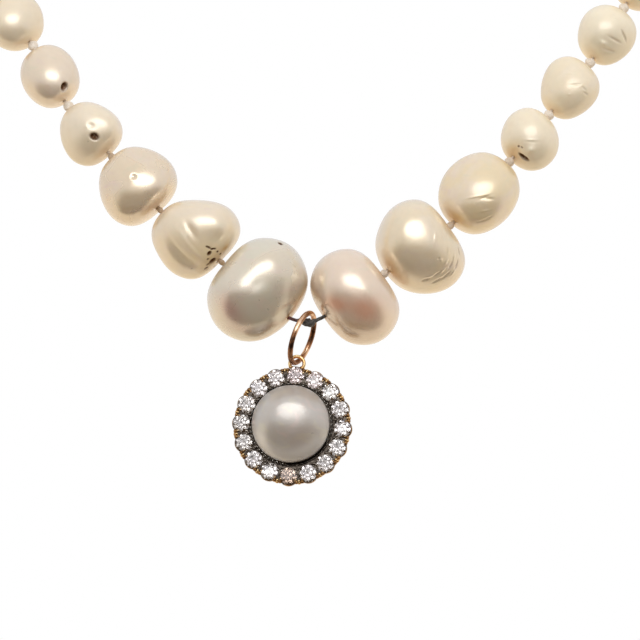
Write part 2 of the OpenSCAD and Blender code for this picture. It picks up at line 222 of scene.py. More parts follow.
# Reading the frame

def merged_solids(node):
    """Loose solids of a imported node, each as (points in mm, pairs of joined points)."""
    bm = bmesh.new()
    bm.from_mesh(frame["nodes"][node].data)
    bmesh.ops.remove_doubles(bm, verts=bm.verts, dist=0.001 * MM)
    bm.verts.index_update()
    solids, seen = [], set()
    for first in bm.verts:
        if first in seen:
            continue
        stack, members = [first], []
        seen.add(first)
        while stack:
            v = stack.pop()
            members.append(v)
            for e in v.link_edges:
                other = e.other_vert(v)
                if other not in seen:
                    seen.add(other)
                    stack.append(other)
        place = {v: i for i, v in enumerate(members)}
        pairs = {tuple(sorted(place[end] for end in e.verts))
                 for v in members for e in v.link_edges}
        solids.append((np.array([v.co for v in members]) / MM, np.array(sorted(pairs))))
    bm.free()
    return solids


def plane_normal(arms):
    """Way in which points round a middle spread least, turned to the viewer."""
    normal = unit(np.linalg.eigh(arms.T @ arms)[1][:, 0])
    return -normal if normal[1] > 0 else normal


class Pearl:
    """A drilled pearl of the frame: its middle, its smooth radius and the mouths of its bore."""
    # An edge longer than this share of a pearl's mean radius is one of its bore's
    BORE_EDGE = 1.2
    # Weight that keeps the fit of the smooth form calm
    CALM = 0.02
    # A solid with more points than this takes a form of the third degree
    MANY_POINTS = 70
    # Degrees round the bore that the end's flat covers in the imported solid
    END_ANGLE = 25
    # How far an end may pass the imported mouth, in mm, on pearls of a mean radius under and over BIG
    END_ROOM = (0.03, 0.13)
    BIG = 4.2
    # Softness of the bend to the end's flat, in shares of the mean radius
    SOFT = 0.11
    # Least cosine between a direction and the bore for the end's flat to count
    LEAST_COS = 0.05

    def __init__(self, points, pairs):
        self.low, self.high = points.min(0), points.max(0)
        self.middle = (self.low + self.high) / 2
        reach = np.linalg.norm(points - self.middle, axis=1)
        self.size = reach.mean()
        self.rooms = [self.END_ROOM[int(self.size > self.BIG)]] * 2
        edges = points[pairs[:, 1]] - points[pairs[:, 0]]
        bore = np.linalg.norm(edges, axis=1) > self.BORE_EDGE * self.size
        rim = np.unique(pairs[bore])
        side = (points[rim] - points[rim].mean(0)) @ edges[bore][0] > 0
        self.mouths = [points[rim][~side].mean(0), points[rim][side].mean(0)]
        self.degree = 3 if len(points) > self.MANY_POINTS else 2
        from_bore = unit(points - (self.mouths[0] + self.mouths[1]) / 2)
        skin = np.abs(from_bore @ self.bore_way()) < math.cos(math.radians(self.END_ANGLE))
        terms = self.terms(unit(points[skin] - self.middle))
        self.weights = np.linalg.solve(terms.T @ terms + self.CALM * np.eye(terms.shape[1]),
                                       terms.T @ (reach[skin] - self.size))

    def bore_way(self):
        return unit(self.mouths[1] - self.mouths[0])

    def terms(self, directions):
        """Products of the three coordinates, which span the smooth forms of a sphere."""
        x, y, z = directions.T
        return np.stack([x ** i * y ** j * z ** (n - i - j)
                         for n in (self.degree, self.degree - 1)
                         for i in range(n + 1) for j in range(n + 1 - i)], axis=1)

    def radius(self, directions):
        """Radius of the round form, cut softly by a plane at each mouth, where a knot begins."""
        reach = self.size + self.terms(directions) @ self.weights
        way = self.bore_way()
        soft = self.SOFT * self.size
        total = np.exp(-reach / soft)
        for mouth, out, room in zip(self.mouths, (-way, way), self.rooms):
            depth = (mouth - self.middle) @ out + room
            total += np.exp(-depth / np.maximum(directions @ out, self.LEAST_COS) / soft)
        return -soft * np.log(total)

    def picture_size(self):
        """Mean half width of the pearl's outline in the photo."""
        return (self.high[0] - self.low[0] + self.high[2] - self.low[2]) / 4


# How far the fullest pearls' inner ends pass their packed mouths, in mm, from the middle outward
INNER_ROOMS = {"left": (0.55, 0.35, 0.22), "right": (0.50,)}


def chain_of(side):
    """Pearls of one side, from the middle to the clasp, each with its inner mouth first."""
    singles = [Pearl(*merged_solids(f"pearl_{side}_{i + 1}")[0]) for i in range(SINGLE_COUNT)]
    rest = [Pearl(*solid) for solid in merged_solids(f"back_pearls_{side}")]
    chain, last = [], HANG

    def far(mouth):
        return np.linalg.norm(mouth - last)

    while singles or rest:
        if singles:
            nearest = singles.pop(0)
        else:
            nearest = min(rest, key=lambda p: min(far(m) for m in p.mouths))
            rest.remove(nearest)
        nearest.mouths.sort(key=far)
        chain.append(nearest)
        last = nearest.mouths[1]
    for pearl, room in zip(chain, INNER_ROOMS[side]):
        pearl.rooms[0] = room
    return chain


# Materials

class Tree:
    """Short names for the nodes that the finishes and the room use."""

    def __init__(self, tree):
        self.tree = tree

    def put(self, socket, value):
        """Links a socket to an output, or sets its number or colour."""
        if isinstance(value, bpy.types.NodeSocket):
            self.tree.links.new(value, socket)
        elif isinstance(value, tuple) and len(value) == 3 and len(socket.default_value) == 4:
            socket.default_value = (*value, 1)
        else:
            socket.default_value = value

    def add(self, kind, inputs=(), **settings):
        """Outputs of a new node that gets its settings and its inputs, by name or number."""
        node = self.tree.nodes.new("ShaderNode" + kind)
        for key, value in settings.items():
            setattr(node, key, value)
        for key, value in dict(inputs).items():
            self.put(node.inputs[key], value)
        return node.outputs

    def math(self, operation, a, b=0.0):
        return self.add("Math", {0: a, 1: b}, operation=operation)[0]

    def mix(self, share, a, b):
        return self.add("Mix", {"Factor": share, 6: a, 7: b}, data_type="RGBA")[2]

    def band(self, value, low, high, to_low=0.0, to_high=1.0):
        """The value's band from low to high, eased to the new range."""
        return self.add("MapRange", enumerate((value, low, high, to_low, to_high)),
                        interpolation_type="SMOOTHSTEP")[0]

    def mapped(self, place, **values):
        return self.add("Mapping", {"Vector": place, **values})[0]


class Finish(Tree):
    """A material with its shader."""

    def __init__(self, name):
        self.material = bpy.data.materials.new(name)
        self.material.use_nodes = True
        super().__init__(self.material.node_tree)
        self.shader = self.tree.nodes["Principled BSDF"]
        self.place = self.add("TexCoord")["Object"]

    def set(self, **values):
        """Sets or links the shader's own sockets, named with underscores for spaces."""
        for key, value in values.items():
            self.put(self.shader.inputs[key.replace("_", " ")], value)
        return self.material

    def attribute(self, name):
        return self.add("Attribute", attribute_name=name)["Fac"]

    def noise(self, per_mm, detail=2.0, rough=0.5, stretch=None, distortion=0.0):
        """Noise from 0 to 1 with this many cells for each millimetre."""
        place = self.mapped(self.place, Scale=stretch) if stretch else self.place
        return self.add("TexNoise", {"Vector": place, "Scale": per_mm / MM, "Detail": detail,
                                     "Roughness": rough, "Distortion": distortion})["Fac"]

    def bump(self, height, depth, strength):
        """Normal of a relief whose depth is in millimetres."""
        return self.add("Bump", {"Height": height, "Distance": depth * MM, "Strength": strength})[0]

    def worn_metal(self, worn, tones, dull_at, bright_at):
        """Colour that goes from a recess's tone to the dull one and the bright one with wear and
        painted light.
        """
        recess, dull, bright = tones
        color = self.mix(self.band(worn, *dull_at), recess, dull)
        return self.mix(self.band(worn, *bright_at), color, bright)


# Columns: body colour, colour where its tone is warm, which on one pearl also paints a yellowish
# reflection, overtone of its rosy patches, colour of its golden amber patches, which on the grey
# pearl is a pale tone painted on its lower rim as a reflection, overtone of its broad mottling, then
# three
# numbers: weight and roughness of the clear coat, and the greatest metallic share of the body
NACRE = {
    "cream_pearl": ((0.88, 0.735, 0.575), (0.89, 0.71, 0.40), (0.80, 0.50, 0.38),
                    (0.78, 0.49, 0.16), (0.87, 0.74, 0.61), (1.0, 0.17, 0.36)),
    "silver_white_pearl": ((0.77, 0.70, 0.60), (0.78, 0.67, 0.46), (0.66, 0.42, 0.36),
                           (0.66, 0.41, 0.17), (0.72, 0.70, 0.57), (1.0, 0.24, 0.34)),
    "pink_pearl": ((0.88, 0.71, 0.58), (0.88, 0.69, 0.44), (0.88, 0.52, 0.36),
                   (0.80, 0.50, 0.22), (0.89, 0.75, 0.63), (1.0, 0.18, 0.34)),
    # The grey pearl's amber column is a pale tone, used as a painted reflection on its lower rim
    "grey_pearl": ((0.58, 0.54, 0.50), (0.58, 0.52, 0.43), (0.55, 0.44, 0.38),
                   (0.80, 0.76, 0.70), (0.60, 0.58, 0.55), (0.9, 0.32, 0.26)),
}
# Share of the coat that is left on chalky nacre
DULL_COAT = 0.35
PALE_NACRE = (1.0, 0.88, 0.66)
ROSE_OVERTONE = (0.82, 0.62, 0.56)
GREEN_OVERTONE = (0.74, 0.70, 0.50)
GRAIN_TONE = (0.60, 0.47, 0.33)
# A stain reflects in its own brown only, as the lining of a drilled hole does
STAIN_COLOR = (0.125, 0.050, 0.016)
STAIN_METAL = 0.85
# Roughness that a full stain or chalk adds
STAIN_ROUGH = 0.25


def nacre(name):
    """Nacre: a cloudy body under a clear coat, with mottled overtones, stains and dirty pits."""
    body, warm, rose, golden, mottled, (coat, coat_rough, metallic) = NACRE[name]
    n = Finish(name)
    cloud = n.noise(0.22, 3.0, 0.55, distortion=0.6)
    orient = n.noise(0.31, 2.0, 0.5, stretch=(1.0, 1.0, 1.6), distortion=1.4)
    grain = n.noise(1.2, 1.0)
    fine = n.noise(3.5, 1.0)
    dull = n.attribute("dull")
    stain = n.math("MULTIPLY", n.attribute("stain"), n.band(fine, 0.15, 0.55, 0.75, 1.0))
    color = body
    # The warm and the amber tones also paint reflections: a yellowish second highlight on one pearl
    # and a pale lower rim on the button
    for share, tone in (
            (n.attribute("warm"), warm),
            (n.band(cloud, 0.42, 0.68, 0.0, 0.7), mottled),
            (n.band(orient, 0.55, 0.75, 0.0, 0.40), ROSE_OVERTONE),
            (n.band(orient, 0.45, 0.28, 0.0, 0.32), GREEN_OVERTONE),
            (n.attribute("pale"), PALE_NACRE),
            (n.attribute("rose"), rose),
            (n.attribute("golden"), golden),
            (n.band(grain, 0.3, 0.8, 0.0, 0.08), GRAIN_TONE),
            (stain, STAIN_COLOR)):
        color = n.mix(share, color, tone)
    rough = n.math("ADD", n.band(cloud, 0.3, 0.75, 0.24, 0.32),
                   n.math("MULTIPLY", n.math("ADD", stain, dull), STAIN_ROUGH))
    clean = n.math("SUBTRACT", 1.0, stain)
    shine = n.math("MULTIPLY", clean, n.band(dull, 0.0, 1.0, metallic, 0.0))
    shine = n.math("MAXIMUM", shine, n.math("MULTIPLY", stain, STAIN_METAL))
    coating = n.math("MULTIPLY", clean, n.band(dull, 0.0, 1.0, coat, coat * DULL_COAT))
    return n.set(Base_Color=color, Roughness=rough, Metallic=shine, IOR=1.6,
                 Normal=n.bump(grain, 0.022, 0.5), Coat_Weight=coating, Coat_Roughness=coat_rough,
                 Coat_IOR=1.75, Subsurface_Weight=0.12, Subsurface_Scale=1.2 * MM,
                 Subsurface_Radius=(1.0, 0.8, 0.6))


def plied_thread(name, light, dark, soil, sheen):
    """Spun fibre: fine streaks, fuzz and grime."""
    n = Finish(name)
    fibre = n.noise(9.0, 3.0, 0.6, stretch=(1.0, 1.0, 0.4), distortion=1.2)
    patch = n.noise(1.3, 2.0)
    grime = n.math("MULTIPLY", n.attribute("soil"), n.band(patch, 0.25, 0.6, 0.4, 1.0))
    color = n.mix(grime, n.mix(n.band(fibre, 0.3, 0.7), dark, light), soil)
    return n.set(Base_Color=color, Roughness=n.band(fibre, 0.3, 0.7, 0.75, 0.55),
                 Sheen_Weight=sheen, Sheen_Roughness=0.5, Normal=n.bump(fibre, 0.04, 0.8))


# Columns: colour in a recess, dull and rubbed bright
METALS = {
    "rose_gold": ((0.07, 0.035, 0.022), (0.42, 0.20, 0.10), (0.90, 0.62, 0.42)),
    "gold": ((0.16, 0.08, 0.03), (0.62, 0.38, 0.14), (0.93, 0.68, 0.34)),
    "black_silver": ((0.080, 0.064, 0.053), (0.17, 0.145, 0.12), (0.62, 0.58, 0.52)),
    "gilding": ((0.13, 0.055, 0.022), (0.56, 0.33, 0.13), (0.95, 0.72, 0.38)),
}


def old_metal(name, bright_rough, dull_rough):
    """Worn metal. Its worn attribute runs from 0 in a recess to 1 on a rubbed edge, with painted
    light on the ring.
    """
    n = Finish(name)
    patch = n.noise(0.9, 4.0, 0.6, distortion=0.8)
    scratch = n.noise(5.0, 3.0, 0.65, stretch=(1.0, 0.35, 2.2))
    worn = n.math("ADD", n.attribute("worn"), n.band(patch, 0.3, 0.7, -0.22, 0.22))
    shade = n.math("ADD", n.band(worn, 0.2, 0.9, dull_rough, bright_rough),
                   n.band(scratch, 0.35, 0.7, -0.05, 0.08))
    return n.set(Base_Color=n.worn_metal(worn, METALS[name], (0.05, 0.5), (0.45, 0.95)),
                 Metallic=1.0, Roughness=shade, Normal=n.bump(scratch, 0.012, 0.6))


def gilded_silver(name):
    """Blackened silver face and yellow gold wall, told apart by the gild attribute."""
    n = Finish(name)
    patch = n.noise(2.4, 4.0, 0.6, distortion=0.5)
    worn = n.math("ADD", n.attribute("worn"), n.band(patch, 0.3, 0.7, -0.2, 0.2))
    silver = n.worn_metal(worn, METALS["black_silver"], (0.1, 0.55), (0.55, 1.0))
    gold = n.worn_metal(worn, METALS["gilding"], (0.1, 0.6), (0.55, 1.0))
    return n.set(Base_Color=n.mix(n.attribute("gild"), silver, gold), Metallic=1.0,
                 Roughness=n.band(worn, 0.1, 1.0, 0.5, 0.2),
                 Normal=n.bump(n.noise(8.0, 3.0, 0.6), 0.012, 0.5))


STONE_TINTS = {"brown": (0.50, 0.32, 0.21), "grey": (0.56, 0.53, 0.50), "pink": (0.92, 0.70, 0.70)}
STONE_WHITE = (0.88, 0.86, 0.81)
STONE_COOL = (0.83, 0.79, 0.80)


def cut_stone(name):
    """Old-cut diamond, with a tint that differs from stone to stone."""
    n = Finish(name)
    cloud = n.noise(0.9, 1.0)
    tint = n.mix(n.band(cloud, 0.35, 0.65), STONE_WHITE, STONE_COOL)
    for key, shade in STONE_TINTS.items():
        tint = n.mix(n.attribute(key), tint, shade)
    return n.set(Base_Color=tint, Roughness=n.band(cloud, 0.3, 0.7, 0.04, 0.07), IOR=2.42,
                 Transmission_Weight=1.0)


FINISHES = {
    **{name: nacre(name) for name in NACRE},
    "silk": plied_thread("silk", light=(0.93, 0.87, 0.77), dark=(0.78, 0.68, 0.56),
                         soil=(0.42, 0.27, 0.13), sheen=0.4),
    "dark_thread": plied_thread("dark_thread", light=(0.17, 0.16, 0.15), dark=(0.022, 0.021, 0.020),
                                soil=(0.16, 0.03, 0.025), sheen=0.15),
    "rose_gold": old_metal("rose_gold", bright_rough=0.28, dull_rough=0.46),
    "gold": old_metal("gold", bright_rough=0.2, dull_rough=0.42),
    "silver_on_gold": gilded_silver("silver_on_gold"),
    "diamond": cut_stone("diamond"),
}


# Pearls

# Relief that the photo shows on a pearl's front. Columns: across and up from the outline's middle
# in shares of its half width, half length and half width in mm, turn in degrees anticlockwise,
# depth in mm where a raised mark is negative, and stain from 0 to 1.
RELIEF = {
    "left_1": [
        (0.47, 0.905, 0.28, 0.30, 0, 0.12, 1.0),
        (0.00, 0.32, 4.2, 2.5, 134, 0.44, 0),
        (0.00, 0.40, 3.6, 1.4, 45, -0.10, 0),
        (-0.02, 0.08, 0.9, 0.6, 60, 0.05, 0),
        (-0.10, -0.40, 3.8, 1.8, 10, 0.12, 0),
        (0.15, -0.62, 1.6, 0.8, 12, -0.03, 0),
    ],
    "left_2": [
        (-0.065, 0.18, 1.25, 0.42, -61, 0.22, 0),
        (-0.32, -0.39, 2.5, 0.62, -48, 0.28, 0),
        (-0.20, -0.08, 1.9, 0.38, -52, -0.14, 0),
        (-0.02, -0.20, 1.3, 0.28, -50, 0.08, 0),
        (0.33, -0.21, 0.32, 0.12, -25, 0.14, 1.0),
        (0.45, -0.25, 0.34, 0.12, -5, 0.14, 1.0),
        (0.35, -0.355, 0.30, 0.24, 60, 0.18, 1.0),
        (0.54, -0.32, 0.15, 0.12, -30, 0.10, 1.0),
        (0.61, -0.37, 0.17, 0.12, -30, 0.10, 1.0),
        (0.32, -0.50, 0.15, 0.13, 0, 0.08, 0.9),
        (0.43, -0.545, 0.46, 0.42, 32, 0.28, 1.0),
        (0.33, -0.62, 0.26, 0.20, 30, 0.14, 0.8),
        (0.28, -0.72, 0.26, 0.17, 25, 0.10, 0.8),
        (0.54, -0.58, 0.13, 0.11, 0, 0.08, 0.9),
        (0.47, -0.67, 0.14, 0.11, 30, 0.08, 0.8),
        (0.70, -0.47, 0.16, 0.11, -30, 0.07, 0.5),
        (-0.07, -0.72, 0.10, 0.08, 0, 0.05, 0.5),
    ],
    "left_3": [
        (-0.13, 0.25, 0.54, 0.52, 0, -0.10, 0),
        (-0.10, 0.225, 0.34, 0.30, 0, 0.20, 0),
        (-0.25, -0.62, 0.9, 0.30, 15, 0.05, 0),
        (0.30, 0.30, 1.6, 0.8, 60, 0.05, 0),
    ],
    "left_4": [
        (0.126, -0.10, 0.54, 0.40, -20, 0.45, 1.0),
        (0.01, 0.26, 0.44, 0.34, -20, 0.12, 0),
        (-0.17, 0.24, 0.26, 0.18, 30, -0.06, 0),
        (0.24, 0.28, 1.9, 1.1, -52, 0.12, 0),
        (-0.10, -0.26, 0.10, 0.08, 0, 0.05, 0.3),
    ],
    "left_5": [(0.497, -0.365, 0.50, 0.38, 82, 0.45, 1.0)],
    "left_6": [(0.40, -0.20, 1.4, 0.9, 30, 0.06, 0)],
    "right_1": [
        (0.20, 0.16, 1.1, 0.55, -20, -0.03, 0),
        (0.05, -0.30, 3.0, 1.6, 0, 0.08, 0),
    ],
    "right_2": [
        (0.34, 0.20, 0.75, 0.17, 78, -0.06, 0),
        (0.62, 0.00, 0.60, 0.16, 75, -0.06, 0),
        (0.53, 0.18, 0.85, 0.18, 82, 0.05, 0),
        (0.47, -0.29, 0.17, 0.15, 0, -0.06, 0),
        (0.41, -0.25, 0.13, 0.11, 0, 0.05, 0.3),
        (-0.05, 0.40, 1.7, 1.7, 0, 0.12, 0),
        (0.85, -0.10, 0.45, 0.12, 95, 0.08, 0.3),
        (0.74, -0.22, 0.40, 0.12, 70, -0.07, 0),
        (0.80, -0.38, 0.55, 0.13, 60, 0.08, 0.2),
        (0.67, -0.40, 0.45, 0.13, 55, 0.07, 0.2),
        (0.58, -0.33, 0.35, 0.11, 50, -0.07, 0),
        (0.72, -0.56, 0.40, 0.12, 50, -0.07, 0),
        (0.56, -0.62, 0.60, 0.13, 42, 0.08, 0.25),
        (0.50, -0.50, 0.45, 0.12, 38, -0.08, 0),
        (0.38, -0.58, 0.45, 0.12, 32, 0.08, 0.2),
        (0.36, -0.74, 0.55, 0.13, 35, 0.08, 0.25),
        (0.22, -0.64, 0.35, 0.11, 25, -0.07, 0),
        (0.12, -0.71, 0.40, 0.12, 30, 0.07, 0.25),
    ],
    "right_3": [
        (-0.10, -0.08, 0.90, 0.12, 12, -0.05, 0),
        (0.14, -0.10, 0.60, 0.12, 20, 0.05, 0),
        (0.22, -0.13, 0.60, 0.20, -5, 0.07, 0),
        (0.16, -0.42, 0.50, 0.12, 8, -0.05, 0),
        (0.22, -0.60, 0.45, 0.12, 15, 0.06, 0.1),
        (0.06, -0.66, 0.60, 0.12, 10, 0.05, 0.1),
    ],
    "right_4": [
        (-0.22, -0.62, 0.66, 0.28, -38, 0.30, 1.0),
        (-0.38, -0.25, 0.13, 0.10, 20, 0.12, 1.0),
        (-0.28, -0.27, 0.11, 0.09, -20, 0.12, 1.0),
        (0.02, -0.03, 0.75, 0.10, 0, -0.04, 0),
        (0.05, -0.10, 0.70, 0.10, -3, 0.04, 0),
        (0.05, -0.36, 0.50, 0.34, 20, -0.16, 0),
        (-0.55, -0.45, 1.4, 0.8, 60, 0.25, 0),
    ],
    "right_5": [
        (0.18, 0.09, 0.85, 0.11, 4, 0.06, 0),
        (0.46, -0.02, 0.40, 0.12, -35, 0.06, 0.1),
        (0.50, -0.18, 0.35, 0.12, -30, 0.06, 0.2),
        (0.02, 0.46, 0.60, 0.08, -3, -0.03, 0),
        (0.38, 0.05, 0.30, 0.10, 30, -0.05, 0),
        (-0.02, -0.22, 0.14, 0.09, 0, -0.05, 0),
    ],
    "right_6": [
        (0.58, -0.03, 0.75, 0.14, -54, 0.12, 0.25),
        (0.29, 0.56, 0.42, 0.08, -27, -0.05, 0),
        (0.28, -0.16, 0.80, 0.14, -28, 0.12, 0.15),
        (-0.11, -0.29, 0.48, 0.26, -25, -0.15, 0),
        (0.04, -0.50, 0.75, 0.20, -26, 0.12, 0.1),
    ],
}

# Patches of colour on a pearl's front. Columns: kind, across, up, half length and half width in mm,
# turn in degrees, strength.
TINTS = {
    "left_1": [
        ("rose", -0.54, -0.40, 1.9, 1.2, -54, 0.8),
        ("rose", -0.20, -0.80, 2.2, 0.8, 0, 0.35),
        ("golden", 0.82, -0.28, 2.2, 0.9, 75, 0.95),
        ("golden", 0.25, -0.88, 2.4, 0.6, 12, 0.75),
        ("golden", 0.66, -0.50, 1.2, 0.8, 60, 0.9),
        ("warm", 0.10, 0.60, 3.0, 2.0, 0, 0.3),
    ],
    "left_2": [
        ("golden", 0.74, -0.22, 0.60, 0.42, 0, 0.85),
        ("golden", 0.42, -0.48, 1.2, 0.9, 50, 0.25),
        ("warm", 0.20, -0.40, 2.4, 1.6, 20, 0.6),
        ("dull", 0.25, -0.30, 2.8, 1.7, -35, 0.9),
        ("dull", -0.15, -0.25, 1.6, 0.7, -50, 0.4),
    ],
    "left_4": [("golden", 0.62, -0.66, 0.9, 0.6, 40, 0.5)],
    "right_1": [
        ("rose", -0.41, -0.16, 1.3, 0.9, -20, 0.9),
        ("rose", 0.25, -0.34, 1.7, 1.2, -10, 1.0),
        ("rose", 0.02, -0.14, 2.8, 0.9, 0, 0.45),
        ("golden", -0.02, -0.62, 1.7, 0.7, 0, 0.35),
        ("golden", -0.30, -0.82, 2.0, 0.8, -35, 1.0),
        ("golden", -0.80, -0.28, 1.6, 0.7, 110, 0.85),
        ("golden", -0.72, -0.50, 1.2, 0.6, 120, 0.85),
        # Painted reflection: a small warm patch at the upper left stands in for a yellowish second
        # highlight
        ("warm", -0.70, 0.30, 1.0, 0.8, 80, 0.8),
    ],
    "right_2": [("golden", -0.62, -0.56, 1.9, 0.9, 55, 0.6)],
    "right_3": [("golden", -0.62, -0.60, 1.5, 0.9, 40, 0.6)],
    "right_4": [("golden", -0.50, -0.45, 1.2, 0.8, 50, 0.55)],
}

# Place of the gleam on the pearls that the photo shows whole, from the middle outward: across and
# up, in shares of the half width
GLEAMS = {
    "left": ((-0.04, 0.34), (0.20, 0.40), (0.14, 0.08), (0.26, 0.34), (0.03, 0.08), (-0.17, 0.10)),
    "right": ((0.03, 0.27), (-0.05, 0.40), (0.12, 0.14), (0.06, 0.25), (0.19, 0.19), (-0.04, 0.37)),
}
# Share of the slant that is used, and how far a direction faces the viewer where the slant sets in
# and where it is full
LEAN_SHARE = 0.9
LEAN_BAND = (0.0, 0.85)

# Tone of the pearls that the photo shows, from the middle outward: warmth and paleness of the
# cream, and chalkiness
TONES = {
    "left": {
        "warm": (0.25, 0.45, 0.35, 0.25, 0.1, 0.35, 0.35),
        "pale": (0.15, 0.4, 0.0, 0.6, 0.15, 0.6, 0.5),
        "dull": (0.05, 0.25, 0.0, 0.45, 0.2, 0.4, 0.4),
    },
    "right": {
        "warm": (0.2, 0.55, 0.85, 0.6, 0.6, 0.6, 0.7),
        "pale": (0.15, 0.4, 0.25, 0.85, 0.65, 1.0, 0.8),
        "dull": (0.2, 0.15, 0.35, 0.6, 0.65, 0.65, 0.6),
    },
}
# Tone of the pearls past them, and how far it goes up and down from pearl to pearl
REST_WARMTH = {"left": 0.35, "right": 0.55}
REST_PALENESS = 0.4
REST_DULLNESS = 0.4
REST_CHANGE = 0.15
FRONT_COUNT = 7
SLOT_OF = {"left_1": "silver_white_pearl", "right_1": "pink_pearl"}

# Waves that make a pearl's skin slightly uneven: count, pitch, greatest phase, fall from wave to
# wave, and height in shares of the radius
WAVE_COUNT = 8
WAVE_PITCH = 1.4
WAVE_PHASE = 6.28
WAVE_FALL = 0.4
WAVE_HEIGHT = 0.0038
# Seeds of the right side's pearls start here
RIGHT_SEED = 100
# Mouth of the bore: radius and depth of its funnel, and radius of the amber stain round it, in mm
MOUTH_R = 0.34
MOUTH_DEEP = 0.16
MOUTH_DIRT = 0.2
MOUTH_STAIN_R = 0.9
MOUTH_STAIN = {"left": 0.25, "right": 0.5}
# Fineness of the pearls' meshes: last number and level, from the middle outward, then the strings'
LEVEL_ENDS = ((3, 7), (7, 6), (SINGLE_COUNT, 5))
STRING_LEVEL = 4
VARIED = ("warm", "pale", "rose", "golden", "stain", "dull")
# Depth under a spot's middle, in mm, past which it fades, and how far its stain goes past its pit
SPOT_REACH = 4.0
STAIN_SPREAD = 0.72


def waves(directions, seed):
    """Sum of seeded smooth waves over a sphere."""
    rng = np.random.default_rng(seed)
    total = np.zeros(len(directions))
    for k in range(WAVE_COUNT):
        axis = unit(rng.normal(size=3))
        phase = rng.uniform(0, WAVE_PHASE)
        total += np.sin((2 + k) * (directions @ axis) * WAVE_PITCH + phase) / (1 + WAVE_FALL * k)
    return total


def lean_front(pearl, points, directions, gleam):
    """Slants a pearl's front so that its gleam falls where the photo shows it."""
    wanted = np.arcsin(gleam)
    plain = np.radians([WINDOW_SIDE / 2, WINDOW_RISE / 2])
    slant = np.tan(plain - wanted) * LEAN_SHARE
    front = smooth_step(*LEAN_BAND, -directions[:, 1])
    arms = points - pearl.middle
    points[:, 1] += front * (arms[:, 0] * slant[0] + arms[:, 2] * slant[1])
    return points


def spot_field(pearl, points, directions, across, up, long, wide, turn):
    """Squared distance of each point from a spot of the photo, in shares of its two half sizes."""
    aim = pearl.middle[[0, 2]] + pearl.picture_size() * np.array([across, up])
    away = np.linalg.norm(points[:, [0, 2]] - aim, axis=1)
    away[points[:, 1] > pearl.middle[1]] = math.inf
    nearest = np.argmin(away)
    outward = directions[nearest]
    a = math.radians(turn)
    along = np.array([math.cos(a), 0, math.sin(a)])
    along = unit(along - outward * (along @ outward))
    beside = np.cross(outward, along)
    arm = points - points[nearest]
    behind = np.maximum(0, -(arm @ outward))
    return (arm @ along / long) ** 2 + (arm @ beside / wide) ** 2 + (behind / SPOT_REACH) ** 4


def pearl_tone(side, number):
    """Warmth, paleness and chalkiness of one pearl."""
    if number <= FRONT_COUNT:
        return {key: row[number - 1] for key, row in TONES[side].items()}
    turn = number * GOLDEN_ANGLE
    return {"warm": REST_WARMTH[side] + REST_CHANGE * math.sin(turn), "pale": REST_PALENESS,
            "dull": REST_DULLNESS + REST_CHANGE * math.cos(turn)}


def pearl_skin(pearl, side, number, level):
    """One pearl as a part, with its relief and tints."""
    name = f"{side}_{number}"
    directions, faces = ico_ball(level)
    seed = number + (RIGHT_SEED if side == "right" else 0)
    reach = pearl.radius(directions) * (1 + WAVE_HEIGHT * waves(directions, seed))
    base = pearl.middle + directions * reach[:, None]
    tone = pearl_tone(side, number)
    values = {key: np.full(len(directions), float(tone.get(key, 0))) for key in VARIED}
    sunk = np.zeros(len(directions))
    for *spot, deep, stain in RELIEF.get(name, []):
        field = spot_field(pearl, base, directions, *spot)
        sunk += deep * np.exp(-field ** (1 + 2 * stain))
        dirt = stain * np.exp(-(STAIN_SPREAD * field) ** 4)
        values["stain"] = np.maximum(values["stain"], dirt)
    for kind, *spot, strength in TINTS.get(name, []):
        shape = np.exp(-spot_field(pearl, base, directions, *spot))
        values[kind] = np.clip(values[kind] + strength * shape, 0, 1)
    for mouth in pearl.mouths:
        toward = unit(mouth - pearl.middle)
        skin = toward * pearl.radius(toward[None])[0]
        away = np.linalg.norm(base - pearl.middle - skin, axis=1)
        sunk += MOUTH_DEEP * bell(away / MOUTH_R)
        amber = MOUTH_STAIN[side] * bell(away / MOUTH_STAIN_R)
        values["golden"] = np.clip(values["golden"] + amber, 0, 1)
        dirt = MOUTH_DIRT * np.exp(-(away / MOUTH_R) ** 4)
        values["stain"] = np.maximum(values["stain"], dirt)
    points = pearl.middle + directions * (reach - sunk)[:, None]
    if number <= len(GLEAMS[side]):
        points = lean_front(pearl, points, directions, GLEAMS[side][number - 1])
    return fit_in(points, pearl.low, pearl.high), faces, values


def build_pearls(side, chain):
    """The single pearls of one side as pieces of their own, and the rest as one piece."""
    for i, pearl in enumerate(chain[:SINGLE_COUNT], 1):
        level = next(level for end, level in LEVEL_ENDS if i <= end)
        slot = SLOT_OF.get(f"{side}_{i}", "cream_pearl")
        new_piece(f"nacre_{side}_{i}", pearl_skin(pearl, side, i, level), "strand", slot,
                  f"pearl_{side}_{i}")
    string = join_parts([pearl_skin(pearl, side, i, STRING_LEVEL)
                         for i, pearl in enumerate(chain[SINGLE_COUNT:], SINGLE_COUNT + 1)])
    new_piece(f"nacre_string_{side}", string, "strand", "cream_pearl", f"back_pearls_{side}")


# Silk and the middle thread

THREAD_R = 0.19
THREAD_SIDES = 10
# Share of the way from a largest pearl's middle to its outer mouth where the silk starts
SILK_START = 0.2
CLASP_SINK = 1
KNOT_R = 0.55
# Greatest radius of a knot in shares of the gap it sits in
KNOT_SHARE = 0.85
# How far a knot's ends sink into the mouths beside it, in mm
KNOT_SINK = 0.2
KNOT_RINGS = 12
KNOT_SIDES = 20
# A knot's ends in shares of the thread's radius, and the power that fills its barrel out
KNOT_END = 1.05
KNOT_POWER = 3
# How far a knot's middle leans, in mm
KNOT_LEAN = 0.05
# Height of a knot's turns and of the silk's plies, in shares of the radius
KNOT_RIDGE = 0.13
SILK_RIDGE = 0.08
SILK_SOIL = 0.3
# Knots by the largest pearls are soiled and thin. Columns: share of the radius and soil, from the
# middle outward.
SOILED = {"left": [(0.7, 0.9), (0.7, 0.9), (0.75, 0.8)],
          "right": [(0.8, 0.1), (0.7, 0.6), (0.95, 0.35)]}


